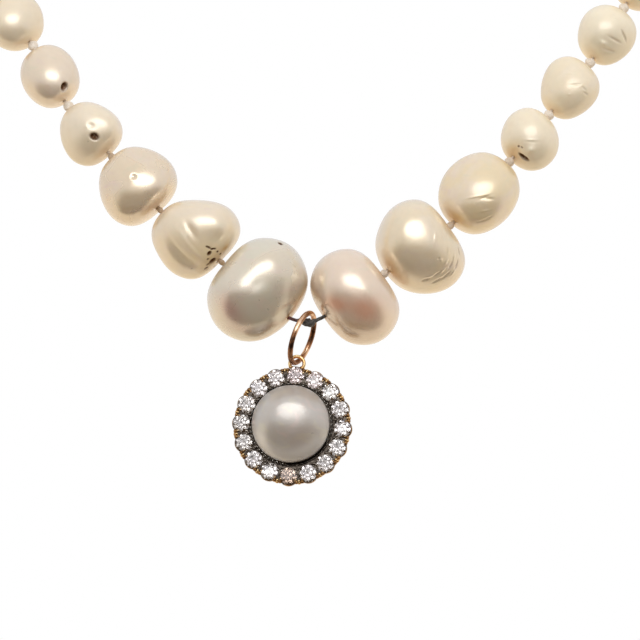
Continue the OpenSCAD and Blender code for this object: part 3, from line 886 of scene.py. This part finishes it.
def knot(at, along, half, radius, seed):
    """Overhand knot drawn tight: a barrel with the thread's turns wound over it."""
    t = np.linspace(-1, 1, KNOT_RINGS + 1)
    path = at + along * (half * t)[:, None]
    barrel = np.maximum(THREAD_R * KNOT_END, radius * (1 - np.abs(t) ** KNOT_POWER) ** 0.5)
    points, faces = sweep(path, barrel, KNOT_SIDES, ridges=2, twist=0.5 / half,
                          ridge=KNOT_RIDGE)
    lean = np.random.default_rng(seed).normal(scale=KNOT_LEAN, size=3)
    return points + lean * np.exp(-((points - at) @ along / half) ** 2 * 2)[:, None], faces


def build_silk(side, chain):
    """Silk of one side from the largest pearl to the clasp, with a knot in each gap."""
    low, high = (np.array(v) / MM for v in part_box("clasp"))
    sign = -1 if side == "left" else 1
    clasp_end = (low + high) / 2
    clasp_end[0] = (high if sign > 0 else low)[0]
    start = chain[0].middle * (1 - SILK_START) + chain[0].mouths[1] * SILK_START
    path, parts = [start], []
    inner_mouths = [pearl.mouths[0] for pearl in chain[1:]] + [clasp_end]
    for i, (pearl, nxt) in enumerate(zip(chain, inner_mouths)):
        mouth = pearl.mouths[1]
        path += [mouth, nxt]
        gap = np.linalg.norm(nxt - mouth)
        share, dirt = SOILED[side][i] if i < len(SOILED[side]) else (1.0, 0.0)
        turned = knot((mouth + nxt) / 2, unit(nxt - mouth), gap / 2 + KNOT_SINK,
                      min(KNOT_R, KNOT_SHARE * gap) * share, i)
        parts.append((*turned, {"soil": dirt}))
    path[-1] = clasp_end - np.array([sign * CLASP_SINK, 0, 0])
    thread = sweep(path, THREAD_R, THREAD_SIDES, ridges=2, twist=0.0, ridge=SILK_RIDGE)
    parts.append((*thread, {"soil": SILK_SOIL}))
    new_piece(f"knotted_silk_{side}", join_parts(parts), "strand", "silk", f"silk_{side}")


# Lump of the middle thread, in mm. Columns: distance along X from where the ring hangs, radius,
# drop.
LUMP = [
    (-1.25, 0.19, 0.00), (-1.00, 0.22, 0.00), (-0.70, 0.34, 0.04), (-0.45, 0.42, 0.10),
    (-0.20, 0.46, 0.18), (0.05, 0.50, 0.26), (0.30, 0.50, 0.30), (0.55, 0.42, 0.22),
    (0.75, 0.28, 0.06), (1.00, 0.21, 0.00),
]
LUMP_STEPS = 180
LUMP_SIDES = 24
# Turns wound over the lump: height in mm, radians for each mm along X and Z, and the radius past
# which they show, in shares of the thread's
WOUND_HEIGHT = 0.018
WOUND_ALONG = 14
WOUND_UP = 6
WOUND_FROM = 1.3
# Share of the thread, from the left end, that shows its maroon core
MAROON_SHARE = 0.3


def build_middle_thread(left, right):
    """Dark thread between the two largest pearls, wound into a lump where the ring hangs."""
    stops = [(left.middle, THREAD_R, 0), (left.mouths[0], THREAD_R, 0),
             *((HANG + [x, 0, 0], r, drop) for x, r, drop in LUMP),
             (right.mouths[0], THREAD_R, 0), (right.middle, THREAD_R, 0)]
    spots = np.array([stop[0] for stop in stops])
    run = run_of(spots)
    s = np.linspace(0, run[-1], LUMP_STEPS)
    path = np.array([np.interp(s, run, spots[:, c]) for c in range(3)]).T
    path[:, 2] -= np.interp(s, run, [stop[2] for stop in stops])
    radii = np.interp(s, run, [stop[1] for stop in stops])
    points, faces = sweep(path, radii, LUMP_SIDES, ridges=3, twist=0.9, ridge=0.09)
    lump = (radii > THREAD_R * WOUND_FROM).repeat(LUMP_SIDES)
    phase = points[:, 0] * WOUND_ALONG + points[:, 2] * WOUND_UP
    wound = np.sin(phase) * WOUND_HEIGHT * lump
    points = points + unit(points - path.repeat(LUMP_SIDES, axis=0)) * wound[:, None]
    start, end = left.mouths[0][0], right.mouths[0][0]
    maroon = smooth_step(MAROON_SHARE, 0.0, (points[:, 0] - start) / (end - start))
    new_piece("dark_thread", (points, faces, {"soil": maroon}), "strand", "dark_thread",
              "middle_thread")


# Jump ring

RING_SEGMENTS = 192
RING_SIDES = 28
# Marks on the wire. The value is raised at the top and the upper front as a painted highlight, and
# lowered on the lower front as painted shade. The two dents thin the wire and darken it, and the
# other marks vary
# its wear. Columns: angle round the ring in degrees from its top through the side nearer the viewer,
# half length in degrees, depth in mm, change of the worn value.
RING_WEAR_AND_LIGHT = [
    (0, 26, 0.000, 0.25),
    (38, 14, 0.000, 0.15),
    (62, 16, 0.000, 0.45),
    (84, 9, 0.035, -0.20),
    (100, 12, 0.020, -0.45),
    (150, 34, 0.000, -0.25),
    (235, 14, 0.000, 0.35),
    (290, 20, 0.000, -0.20),
]
# Wear of the wire, and what its outer side adds
RING_WORN = 0.55
OUTER_WORN = 0.10
# Radius of the wire in mm, and its mean and waves in shares of that. Columns of the waves: count
# round the ring, phase, height.
RING_WIRE_R = 0.31
WIRE_MEAN = 0.985
WIRE_WAVES = [(3, 1, 0.008), (7, 0, 0.006)]
# Turn round the wire, in radians from its outer side, at which a mark is deepest
MARK_SIDE = 0.6


def build_ring():
    """Jump ring of round wire, rubbed thin on one side."""
    points, _ = merged_solids("jump_ring")[0]
    middle = points.mean(0)
    arms = points - middle
    normal = plane_normal(arms)
    ring_r = np.linalg.norm(arms, axis=1).max() - (arms @ normal).max()
    top = unit(np.array([0, 0, 1.0]) - normal * normal[2])
    near = np.cross(top, normal)
    near = -near if near[1] > 0 else near
    wire = turns(RING_SIDES)
    rings, worn = [], []
    for a in turns(RING_SEGMENTS):
        out = math.cos(a) * top + math.sin(a) * near
        sink = value = 0.0
        # Painted light: the marks brighten the wire's top and upper front and darken its lower front
        for at, half, deep, change in RING_WEAR_AND_LIGHT:
            fall = bell(((math.degrees(a) - at + 180) % 360 - 180) / half)
            sink += deep * fall
            value += change * fall
        uneven = sum(height * math.sin(n * a + phase) for n, phase, height in WIRE_WAVES)
        mark = np.maximum(0, 0.5 + 0.5 * np.cos(wire - MARK_SIDE))
        r = RING_WIRE_R * (WIRE_MEAN + uneven) - sink * mark
        rings.append(middle + out * (ring_r + (r * np.cos(wire))[:, None])
                     + normal * (r * np.sin(wire))[:, None])
        worn.append(RING_WORN + value + OUTER_WORN * np.cos(wire))
    part = (np.concatenate(rings), ring_faces(RING_SEGMENTS, RING_SIDES, True),
            {"worn": np.clip(np.concatenate(worn), 0, 1)})
    new_piece("copper_ring", part, "ring", "rose_gold", "jump_ring")


# Cluster

class Cluster:
    """The cluster's own frame, read from its stones: X to the right, Y to its top, Z to the viewer,
    and its origin in the middle of the stones' girdles."""
    # Share of a stone's radius past which its points are the girdle's
    GIRDLE_FROM = 0.95

    def __init__(self):
        stones = [merged_solids(f"diamond_{i + 1}")[0][0] for i in range(STONE_COUNT)]
        middles = np.array([p.mean(0) for p in stones])
        self.origin = middles.mean(0)
        arms = middles - self.origin
        self.z = plane_normal(arms)
        self.y = unit(arms[0] - self.z * (arms[0] @ self.z))
        self.x = np.cross(self.y, self.z)
        self.ring_r = np.linalg.norm(arms, axis=1).mean()
        stone = stones[0] - middles[0]
        level = stone @ self.z
        out = np.linalg.norm(stone - level[:, None] * self.z, axis=1)
        self.stone_r = out.max()
        girdle = level[out > self.GIRDLE_FROM * self.stone_r].mean()
        self.origin = self.origin + self.z * girdle
        self.crown = level.max() - girdle
        self.pavilion = girdle - level.min()

    def place(self, points):
        """Points of the cluster's frame, in the row's."""
        p = np.asarray(points, float)
        return self.origin + p[:, :1] * self.x + p[:, 1:2] * self.y + p[:, 2:3] * self.z


def stone_angle(i):
    return math.radians(90 - 360 * i / STONE_COUNT)


def about_z(points, angle, shift=(0, 0, 0)):
    """Points turned about Z after a shift."""
    p = np.asarray(points, float) + shift
    c, s = math.cos(angle), math.sin(angle)
    return np.c_[p[:, 0] * c - p[:, 1] * s, p[:, 0] * s + p[:, 1] * c, p[:, 2]]


# Diamond: shares of the girdle's radius
TABLE_SHARE = 0.50
STAR_SHARE = 0.76
LOWER_SHARE = 0.52
CULET_SHARE = 0.08
GIRDLE_HALF = 0.025
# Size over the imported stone's, and how much smaller and flatter a stone may be
STONE_FIT = 1.06
STONE_SHRINK = 0.03
CROWN_SHRINK = 0.08
PAVILION_FIT = 0.97
STONE_LEAN = 0.025
# Greatest turn of a stone about its axis, in radians
STONE_TURN = 0.78
# Tint of the stones that differ from the rest: stone, tint, strength
SHADED_STONES = [(1, "pink", 0.5), (2, "pink", 0.25), (6, "grey", 0.2), (9, "brown", 0.75),
                 (12, "grey", 0.5), (13, "grey", 0.6), (7, "grey", 0.3)]
TINT_CHANGE = 0.08
STONE_SEED = 16


def old_cut(radius, crown, pavilion):
    """Points and faces of a 58-facet stone with planar kites, its girdle's middle at the origin."""
    def rise(depth, share, end_share):
        """Height over the girdle's edge at which a corner keeps its kite planar."""
        bend = math.cos(math.radians(22.5))
        return (depth - GIRDLE_HALF) * (1 - share * bend) / (1 - end_share)

    star = GIRDLE_HALF + rise(crown, STAR_SHARE, TABLE_SHARE)
    lower = -GIRDLE_HALF - rise(pavilion, LOWER_SHARE, CULET_SHARE)
    points = np.concatenate([
        circle(share * radius, np.radians(first + np.arange(count) * 360 / count), level)
        for share, level, first, count in (
            (TABLE_SHARE, crown, 0, 8), (STAR_SHARE, star, 22.5, 8), (1, GIRDLE_HALF, 0, 16),
            (1, -GIRDLE_HALF, 0, 16), (LOWER_SHARE, lower, 22.5, 8),
            (CULET_SHARE, -pavilion, 0, 8))])
    table, stars, top, low, lowers, culet = 0, 8, 16, 32, 48, 56
    faces = [[table + k for k in range(8)], [culet + 7 - k for k in range(8)]]
    for k in range(8):
        n, p = (k + 1) % 8, (k - 1) % 8
        g, mid, nxt = 2 * k, 2 * k + 1, (2 * k + 2) % 16
        faces += [
            [table + k, stars + k, table + n],
            [table + k, stars + p, top + g, stars + k],
            [stars + k, top + g, top + mid],
            [stars + k, top + mid, top + nxt],
            [culet + k, lowers + k, low + g, lowers + p],
            [lowers + k, low + mid, low + g],
            [lowers + k, low + nxt, low + mid],
            [culet + k, culet + n, lowers + k],
            [top + g, low + g, low + mid, top + mid],
            [top + mid, low + mid, low + nxt, top + nxt],
        ]
    return points, faces


def build_stones(cluster):
    rng = np.random.default_rng(STONE_SEED)
    for i in range(STONE_COUNT):
        size = cluster.stone_r * STONE_FIT * (1 - STONE_SHRINK * rng.random())
        crown = cluster.crown * (1 - CROWN_SHRINK + CROWN_SHRINK * rng.random())
        points, faces = old_cut(size, crown, cluster.pavilion * PAVILION_FIT)
        points = about_z(points, rng.uniform(0, STONE_TURN))
        points[:, 2] += points[:, :2] @ rng.normal(scale=STONE_LEAN, size=2)
        points = cluster.place(about_z(points, stone_angle(i), (cluster.ring_r, 0, 0)))
        tints = {key: TINT_CHANGE * rng.random() for key in STONE_TINTS}
        for stone, key, strength in SHADED_STONES:
            tints[key] += strength if stone == i + 1 else 0
        new_piece(f"old_cut_{i + 1}", (points, faces, tints), "pendant", "diamond",
                  f"diamond_{i + 1}", flat=True)


# Setting, in the cluster's frame, in mm. The cup is set a little off the middle, as the pearl is.
CUP_SHIFT = np.array([-0.15, 0.24])
CUP_R = 4.60
CUP_FLOOR = -0.30
# Radii of the cup's rings, then of the fine ones over its rims, and count of the plate's
CUP_RINGS = (1.2, 2.4, 3.6, 4.2)
RIM_RINGS = np.arange(4.44, 5.2, 0.028)
PLATE_RINGS = 14
PLATE_R = 6.62
PLATE_TOP = 0.0
# How far the plate falls to its edge, and the distances out between which it does
PLATE_FALL = 0.05
PLATE_FALL_OUT = (6.0, 6.6)
# Uneven face: height, radians for each mm across with their start, and radians for each mm up
DENT_HEIGHT = 0.015
DENT_ACROSS = (5, 2)
DENT_UP = 4.3
SCALLOP_R = 1.10
SEAT_CLEAR = 0.01
# How far a seat's cone goes past the stone's culet
SEAT_SINK = 0.03
# A seat's rim. Columns: distance out past its cone, height.
SEAT_RIM = [(0, -0.04), (0.02, 0.02), (0.14, 0.30)]
SEAT_SIDES = 48
LIGHT_HOLE_R = 0.4
HOLE_DEEP = 2.4
SETTING_STEPS = 20 * STONE_COUNT
# Rims round the cup: radius, half width, height over the plate
CUP_RIMS = [(4.67, 0.05, 0.10), (4.86, 0.04, 0.02)]
RIM_DROP = 0.1
RIM_VALLEY = -0.16
RIMS_END = (4.95, 5.12)
# Wall under the scalloped edge. Columns: distance from the edge and height.
EDGE_PROFILE = [(0.00, -0.10), (0.02, -0.30), (0.00, -0.55), (-0.05, -0.74), (-0.12, -0.79)]
# Gallery and back. Columns: radius and height.
BACK_PROFILE = [
    (6.56, -0.80), (6.44, -0.86), (6.38, -1.10), (6.38, -1.50), (6.46, -1.66), (6.50, -1.74),
    (6.50, -1.92), (6.44, -1.99), (5.90, -2.00), (5.00, -2.00), (4.92, -1.96), (4.90, -1.40),
    (4.90, -0.98), (4.84, -0.90), (2.60, -0.90),
]
LOOP_UP = 7.35
LOOP_BACK = 0.63
LOOP_R = 0.82
LOOP_WIRE_R = 0.2
LOOP_STEPS = 72
LOOP_SIDES = 20
SOLDER_SIDE = 0.62
SOLDER_UP = 6.88
SOLDER_R = 0.24
# Wear of the loop, of its solder and of the plate, and what a rim and gilding add
LOOP_WORN = 0.85
SOLDER_WORN = 0.7
PLATE_WORN = 0.30
RIM_WORN = 0.58
GILD_WORN = 0.20
# Where gilding sets in: distances out on the lobes with its share, heights and distances out on the
# wall, and heights on the back
LOBE_GILD = (6.74, 6.90)
LOBE_GILD_SHARE = 0.6
WALL_GILD = (-0.10, -0.25)
WALL_GILD_OUT = (6.2, 6.4)
BACK_GILD = (-0.84, -0.88)
# Where a rim is rubbed: its own height, how near the face, and how far out at most
RIM_HEIGHT = (-0.10, 0.08)
RIM_NEAR = (0.12, 0.0)
RIM_OUT = 5.0


def edge_radius(angles, ring_r):
    """Radius of the plate's scalloped edge at angles round the cluster."""
    step = 2 * math.pi / STONE_COUNT
    off = (angles - math.pi / 2 + step / 2) % step - step / 2
    side = ring_r * np.sin(off)
    lobe = ring_r * np.cos(off) + np.sqrt(np.maximum(0, SCALLOP_R ** 2 - side ** 2))
    return np.where(np.abs(side) < SCALLOP_R, np.maximum(lobe, PLATE_R), PLATE_R)


def plate_height(x, y):
    """Height of the plate's face: the cup's floor, the rims round it, the metal between stones."""
    r = np.hypot(x - CUP_SHIFT[0], y - CUP_SHIFT[1])
    out = np.hypot(x, y)
    height = np.where(r < CUP_R, CUP_FLOOR, RIM_VALLEY)
    for at, half, up in CUP_RIMS:
        rim = up - (np.abs(r - at) / half) ** 2 * RIM_DROP
        height = np.where(r < CUP_R, height, np.maximum(height, rim))
    outer = smooth_step(*RIMS_END, out)
    per_mm, start = DENT_ACROSS
    dents = DENT_HEIGHT * np.sin(per_mm * x + start) * np.sin(DENT_UP * y)
    flat = PLATE_TOP - PLATE_FALL * smooth_step(*PLATE_FALL_OUT, out) + dents
    return height * (1 - outer) + flat * outer


def setting_body(cluster):
    """Closed body of plate, wall and back, before the seats are cut."""
    angles = turns(SETTING_STEPS)
    edge = edge_radius(angles, cluster.ring_r)
    inner = RIM_RINGS[-1]
    radii = [*CUP_RINGS, *RIM_RINGS]
    radii += [inner + (edge - 0.05 - inner) * t for t in np.linspace(0.05, 1, PLATE_RINGS)]
    rings = [circle(r, angles, plate_height(r * np.cos(angles), r * np.sin(angles)))
             for r in radii]
    rings += [circle(edge + out, angles, z) for out, z in EDGE_PROFILE]
    rings += [circle(r, angles, z) for r, z in BACK_PROFILE]
    points, faces = shell(rings, (0, 0, CUP_FLOOR), (0, 0, BACK_PROFILE[-1][1]))
    return points, [f[::-1] for f in faces]


def seat_cutter(cluster):
    """One cut for a stone and its light hole, standing on the stone's own axis."""
    wide = cluster.stone_r * STONE_FIT + SEAT_CLEAR
    deep = cluster.pavilion + SEAT_SINK
    slope = (wide - LIGHT_HOLE_R) / deep
    rim = [(wide + out, z) for out, z in SEAT_RIM]
    return lathe([
        (0, -HOLE_DEEP), (LIGHT_HOLE_R, -HOLE_DEEP), (LIGHT_HOLE_R, -deep + 0.28),
        (LIGHT_HOLE_R + 0.03, -deep + 0.31), (wide - slope * 0.06, -0.10), *rim,
        (0, rim[-1][1])], SEAT_SIDES)


def cut_away(body, cutter):
    """Points and faces of the body after the cutter's volume is taken out, both in mm."""
    made = link_mesh("cut_body", *body), link_mesh("cut_tool", *cutter)
    cut = made[0].modifiers.new("seats", "BOOLEAN")
    cut.operation, cut.object, cut.solver = "DIFFERENCE", made[1], "EXACT"
    result = made[0].evaluated_get(bpy.context.evaluated_depsgraph_get()).to_mesh()
    points = np.array([v.co for v in result.vertices])
    faces = [list(p.vertices) for p in result.polygons]
    for mesh in [o.data for o in made]:
        bpy.data.meshes.remove(mesh)
    return points, faces


def bead(at, radius, stretch, angle=0.0):
    """Bead of metal, stretched along its own axes and turned about Z."""
    points, faces = ico_ball(3)
    return about_z(points * radius * np.array(stretch), angle) + np.asarray(at), faces


# Grains and claws: seed and spread of their change, turn of a pair's halves from the gap's middle
# in radians, and how much painted shade darkens their feet, with the heights between which it sets in
GRAIN_SEED = 7
GRAIN_CHANGE = 0.012
PAIR_TURN = 0.055
FOOT_PAINTED_SHADE = 0.25
FOOT_HEIGHTS = (0.05, -0.12)


def grain_parts():
    """Silver beads on the inner side and gold claws on the outer side of each gap of the stones."""
    rng = np.random.default_rng(GRAIN_SEED)
    parts = []

    def grow(r, turn, z, radius, stretch, gild, worn, angle=0.0):
        at = (r * math.cos(turn), r * math.sin(turn), z)
        points, faces = bead(at, radius, stretch, angle)
        # Painted shade: each bead darkens towards its foot, where it meets the plate
        worn = worn - FOOT_PAINTED_SHADE * smooth_step(*FOOT_HEIGHTS, points[:, 2])
        parts.append((points, faces, {"gild": gild, "worn": worn}))

    for i in range(STONE_COUNT):
        a = stone_angle(i + 0.5)
        jitter = rng.normal(scale=GRAIN_CHANGE, size=4)
        grow(5.08, a + jitter[0], 0.02, 0.19 + jitter[1], (1.15, 0.9, 1), 0.0, 0.50)
        for turn in (-PAIR_TURN, PAIR_TURN):
            grow(5.02, a + turn * 1.9, 0.01, 0.08, (1, 1, 1), 0.0, 0.95)
            grow(5.30, a + turn * 0.7, 0.03, 0.12, (1, 1, 1), 0.0, 0.9)
            grow(6.26, a + turn, 0.05, 0.15 + jitter[2], (1.4, 0.9, 1.1), 0.55, 0.7, a)
            grow(6.56, a + turn * 0.9, -0.08, 0.24 + jitter[3], (0.9, 1.1, 1.3), 1.0, 0.32, a)
        grow(5.84, a, -0.02, 0.10, (2.4, 0.7, 1), 0.0, 0.35, a)
        grow(6.68 + jitter[3], a, -0.20, 0.18, (0.8, 1.2, 1.2), 1.0, 0.85, a)
        grow(6.46, a, 0.10, 0.13, (1.3, 0.8, 0.9), 1.0, 1.0, a)
    return parts


def build_setting(cluster):
    """Soldered setting: plate, wall, grains, claws and loop in one piece."""
    seat, seat_faces = seat_cutter(cluster)
    seats = [(about_z(seat, stone_angle(i), (cluster.ring_r, 0, 0)), seat_faces, {})
             for i in range(STONE_COUNT)]
    points, faces = cut_away(setting_body(cluster), join_parts(seats)[:2])
    x, y, z = points.T
    out = np.hypot(x, y)
    gild = np.maximum(smooth_step(*LOBE_GILD, out) * LOBE_GILD_SHARE,
                      smooth_step(*WALL_GILD, z) * smooth_step(*WALL_GILD_OUT, out))
    gild = np.maximum(gild, smooth_step(*BACK_GILD, z))
    face = plate_height(x, y)
    rim = smooth_step(*RIM_HEIGHT, face) * smooth_step(*RIM_NEAR, np.abs(z - face))
    rim *= out < RIM_OUT
    worn = PLATE_WORN + RIM_WORN * rim + GILD_WORN * gild
    loop, loop_faces = torus(LOOP_R, LOOP_WIRE_R, LOOP_STEPS, LOOP_SIDES)
    parts = [(points, faces, {"gild": gild, "worn": worn}),
             (loop + [0, LOOP_UP, -LOOP_BACK], loop_faces, {"gild": 1.0, "worn": LOOP_WORN})]
    for side in (-SOLDER_SIDE, SOLDER_SIDE):
        drop = bead((side, SOLDER_UP, -LOOP_BACK), SOLDER_R, (1.3, 0.8, 0.9))
        parts.append((*drop, {"gild": 1.0, "worn": SOLDER_WORN}))
    points, faces, values = join_parts(parts + grain_parts())
    new_piece("cluster_setting", (cluster.place(points), faces, values), "pendant",
              "silver_on_gold", "pendant_setting", sharp_angle=38)


# Button pearl, in mm: radius, height, heights of its waist and base
PEARL_R = 4.54
PEARL_H = 2.7
PEARL_WAIST = 0.1
PEARL_BASE = -0.25
# Its dome: radius of its cap, degrees to the cap's end, radius of the bend at its edge, and lean
CAP_R = 5.45
CAP_END = 53
EDGE_BEND = 0.66
DOME_LEAN = (-0.09, 0.13)
# Softer curve of the dome where it gleams: place, half size and depth
DOME_FLAT = (-0.1, 1.25, 2.3, 0.22)
BUTTON_SEED = 5
BUTTON_WAVES = 0.0022
BUTTON_FIT = 0.995
BUTTON_SIDES = 144


def build_button(cluster):
    """Grey half-round pearl with a soft dome."""
    rim = [(PEARL_R * (0.82 + 0.18 * math.cos(a)),
            PEARL_WAIST + (PEARL_WAIST - PEARL_BASE) * math.sin(a) / 0.866)
           for a in np.radians(np.linspace(-60, 0, 10))]
    edge = [(PEARL_R - EDGE_BEND * (1 - math.sin(a)), PEARL_WAIST + EDGE_BEND * math.cos(a))
            for a in np.radians(np.linspace(84, CAP_END + 4, 6))]
    dome = [(CAP_R * math.sin(a), PEARL_H - CAP_R * (1 - math.cos(a)))
            for a in np.radians(np.linspace(CAP_END, 1.5, 40))]
    points, faces = lathe([(0, PEARL_BASE), *rim, *edge, *dome, (0, PEARL_H)], BUTTON_SIDES)
    middle = np.array([0, 0, PEARL_WAIST])
    arms = points - middle
    uneven = 1 + BUTTON_WAVES * waves(unit(arms), BUTTON_SEED)
    points = middle + arms * uneven[:, None] * BUTTON_FIT
    from_axis = np.hypot(points[:, 0], points[:, 1]) / PEARL_R
    x, y, size, depth = DOME_FLAT
    flat = depth * np.exp(-((points[:, 0] - x) ** 2 + (points[:, 1] - y) ** 2) / size ** 2)
    lean = points[:, :2] @ DOME_LEAN * smooth_step(0.97, 0.45, from_axis)
    points[:, 2] += (lean - flat) * (points[:, 2] > PEARL_WAIST)
    right, up = points[:, :2].T / PEARL_R
    points[:, :2] += CUP_SHIFT
    values = {
        "warm": 0.25 + 0.3 * bell((up + 0.5) / 0.5),
        "rose": 0.35 * bell((right - 0.3) / 0.4) * bell((up + 0.35) / 0.4),
        # Painted reflection: a paler lower rim, in the grey pearl's pale tone, for the bright room
        # reflected there
        "golden": smooth_step(0.58, 0.85, from_axis) * smooth_step(-0.1, -0.5, up),
        "pale": 0, "stain": 0, "dull": 0.1,
    }
    new_piece("button_nacre", (cluster.place(points), faces, values), "pendant", "grey_pearl",
              "button_pearl")


# Clasp

# Half profile of the barrel: distance along it from an end in shares of half its length, radius in
# shares of its greatest
CLASP_PROFILE = [
    (0.00, 0.20), (0.00, 0.50), (0.02, 0.575), (0.05, 0.59), (0.20, 0.72), (0.22, 0.78),
    (0.25, 0.80), (0.28, 0.78), (0.31, 0.84), (0.40, 0.93), (0.52, 0.985), (0.54, 0.955),
    (0.56, 0.955), (0.58, 0.99), (0.94, 0.995), (0.965, 0.955), (0.985, 0.955), (1.00, 0.99),
]
# Blind hole at each end and the cone at its bottom, in mm
CLASP_HOLE_R = 0.25
CLASP_HOLE_DEEP = 0.9
CLASP_HOLE_CONE = 0.1
# Where the turned lines lie, in shares of half the length from the middle, and their half width
TURNED_LINES = (0.45, 0.025)
LINE_HALF = 0.012
CLASP_SIDES = 72
# Wear on the axis, what the greatest radius adds to it and what a turned line takes
CLASP_WORN = 0.35
BULGE_WORN = 0.45
LINE_WORN = 0.4


def build_clasp():
    """Plain barrel with turned lines, closed by its own thread."""
    low, high = (np.array(v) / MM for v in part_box("clasp"))
    half, radius = (high[0] - low[0]) / 2, (high[2] - low[2]) / 2
    deep = -half + CLASP_HOLE_DEEP
    front = [(0, deep + CLASP_HOLE_CONE), (CLASP_HOLE_R, deep)]
    front += [(r * radius, -half + x * half) for x, r in CLASP_PROFILE]
    points, faces = lathe(front + [(r, -z) for r, z in front[-2::-1]], CLASP_SIDES)
    along = np.abs(points[:, 2]) / half
    groove = sum(bell((along - at) / LINE_HALF) for at in TURNED_LINES)
    worn = CLASP_WORN + BULGE_WORN * np.linalg.norm(points[:, :2], axis=1) / radius
    worn -= LINE_WORN * groove
    part = ((low + high) / 2 + points[:, [2, 0, 1]], faces, {"worn": np.clip(worn, 0, 1)})
    new_piece("barrel_clasp", part, "strand", "gold", "clasp", sharp_angle=40)


# Stage, in metres

FLOOR_Z = -0.20
FLOOR_Y = -0.06
FLOOR_R = 1.5
FLOOR_TONES = ((0.93, 0.93, 0.92), (0.96, 0.96, 0.95))


def build_floor():
    """Pale floor under the necklace. Only the camera sees it, so the room's light passes it."""
    edge = circle(FLOOR_R, turns(128), 0)
    floor = link_mesh("floor", edge, [range(len(edge))])
    floor.location = (0, FLOOR_Y, FLOOR_Z)
    floor.visible_diffuse = floor.visible_glossy = floor.visible_transmission = False
    floor.visible_shadow = False
    n = Finish("pale_floor")
    floor.data.materials.append(
        n.set(Base_Color=n.mix(n.noise(0.05, 3.0), *FLOOR_TONES), Roughness=0.6))


# Room: its light from above and from below and the heights between which they meet, colour of the
# dark end behind the camera, and its panels. Columns of a panel: its middle's degrees to the right
# and up, half height and half width in shares of the unit sphere, softness of its edge.
SKY_COLOR = (0.755, 0.75, 0.775)
GROUND_COLOR = (1.07, 0.935, 0.74)
HORIZON = (-0.45, 0.25)
DARK_COLOR = (0.080, 0.048, 0.022)
DARK_END = (2, -40, 0.62, 0.86, 0.22)
WINDOW_COLOR = (3.8, 3.8, 3.8)
WINDOW = (WINDOW_SIDE, WINDOW_RISE, 0.24, 0.37, 0.5)
# Power of the panels' outline, from 2 for an ellipse upward
PANEL_POWER = 2.5
BACKDROP = (1.0, 1.0, 1.0)


def panel(n, direction, side, elevation, half_height, half_width, soft):
    """Share of a soft oval panel on the camera's side of the room, for each direction."""
    for turn in ((0, 0, -side), (elevation, 0, 0)):
        direction = n.mapped(direction, Rotation=[math.radians(a) for a in turn])
    x, y, z = n.add("SeparateXYZ", {0: direction})
    across, up = (n.math("POWER", n.math("ABSOLUTE", n.math("DIVIDE", at, half)), PANEL_POWER)
                  for at, half in ((x, half_width), (z, half_height)))
    share = n.band(n.math("ADD", across, up), 1 - soft, 1 + soft * 2, 1, 0)
    return n.math("MULTIPLY", share, n.math("LESS_THAN", y, 0.0))


def build_room():
    """Even white room with a dark end low behind the camera and a soft window over it."""
    world = bpy.data.worlds.new("room")
    world.use_nodes = True
    bpy.context.scene.world = world
    n = Tree(world.node_tree)
    n.tree.nodes.clear()
    direction = n.add("TexCoord")["Generated"]
    height = n.add("SeparateXYZ", {0: direction})[2]
    light = n.mix(n.band(height, *HORIZON), GROUND_COLOR, SKY_COLOR)
    light = n.mix(panel(n, direction, *DARK_END), light, DARK_COLOR)
    light = n.mix(panel(n, direction, *WINDOW), light, WINDOW_COLOR)
    light = n.mix(n.add("LightPath")["Is Camera Ray"], light, BACKDROP)
    n.add("OutputWorld", {"Surface": n.add("Background", {"Color": light})[0]})


def build_camera():
    """Long lens, level, straight at the front."""
    data = bpy.data.cameras.new("camera")
    data.sensor_width = SENSOR_WIDTH
    data.lens = SENSOR_WIDTH * CAMERA_DISTANCE / (PHOTO_SIZE * MM_PER_PIXEL)
    data.clip_start, data.clip_end = CLIP_M
    camera = bpy.data.objects.new("camera", data)
    x = (PHOTO_SIZE / 2 - KNOWN_COLUMN) * MM_PER_PIXEL + KNOWN_COLUMN_X
    z = (KNOWN_ROW - PHOTO_SIZE / 2) * MM_PER_PIXEL + KNOWN_ROW_Z
    camera.location = np.array([x, FRONT_DEPTH - CAMERA_DISTANCE, z]) * MM
    camera.rotation_euler = (math.pi / 2, 0, 0)
    bpy.context.scene.collection.objects.link(camera)
    bpy.context.scene.camera = camera


def build_all():
    build_camera()
    build_room()
    build_floor()
    bpy.context.scene.view_settings.view_transform = "Standard"
    chains = {side: chain_of(side) for side in SIDES}
    for side in SIDES:
        build_pearls(side, chains[side])
        build_silk(side, chains[side])
    build_middle_thread(chains["left"][0], chains["right"][0])
    build_ring()
    cluster = Cluster()
    build_setting(cluster)
    build_button(cluster)
    build_stones(cluster)
    build_clasp()


build_all()
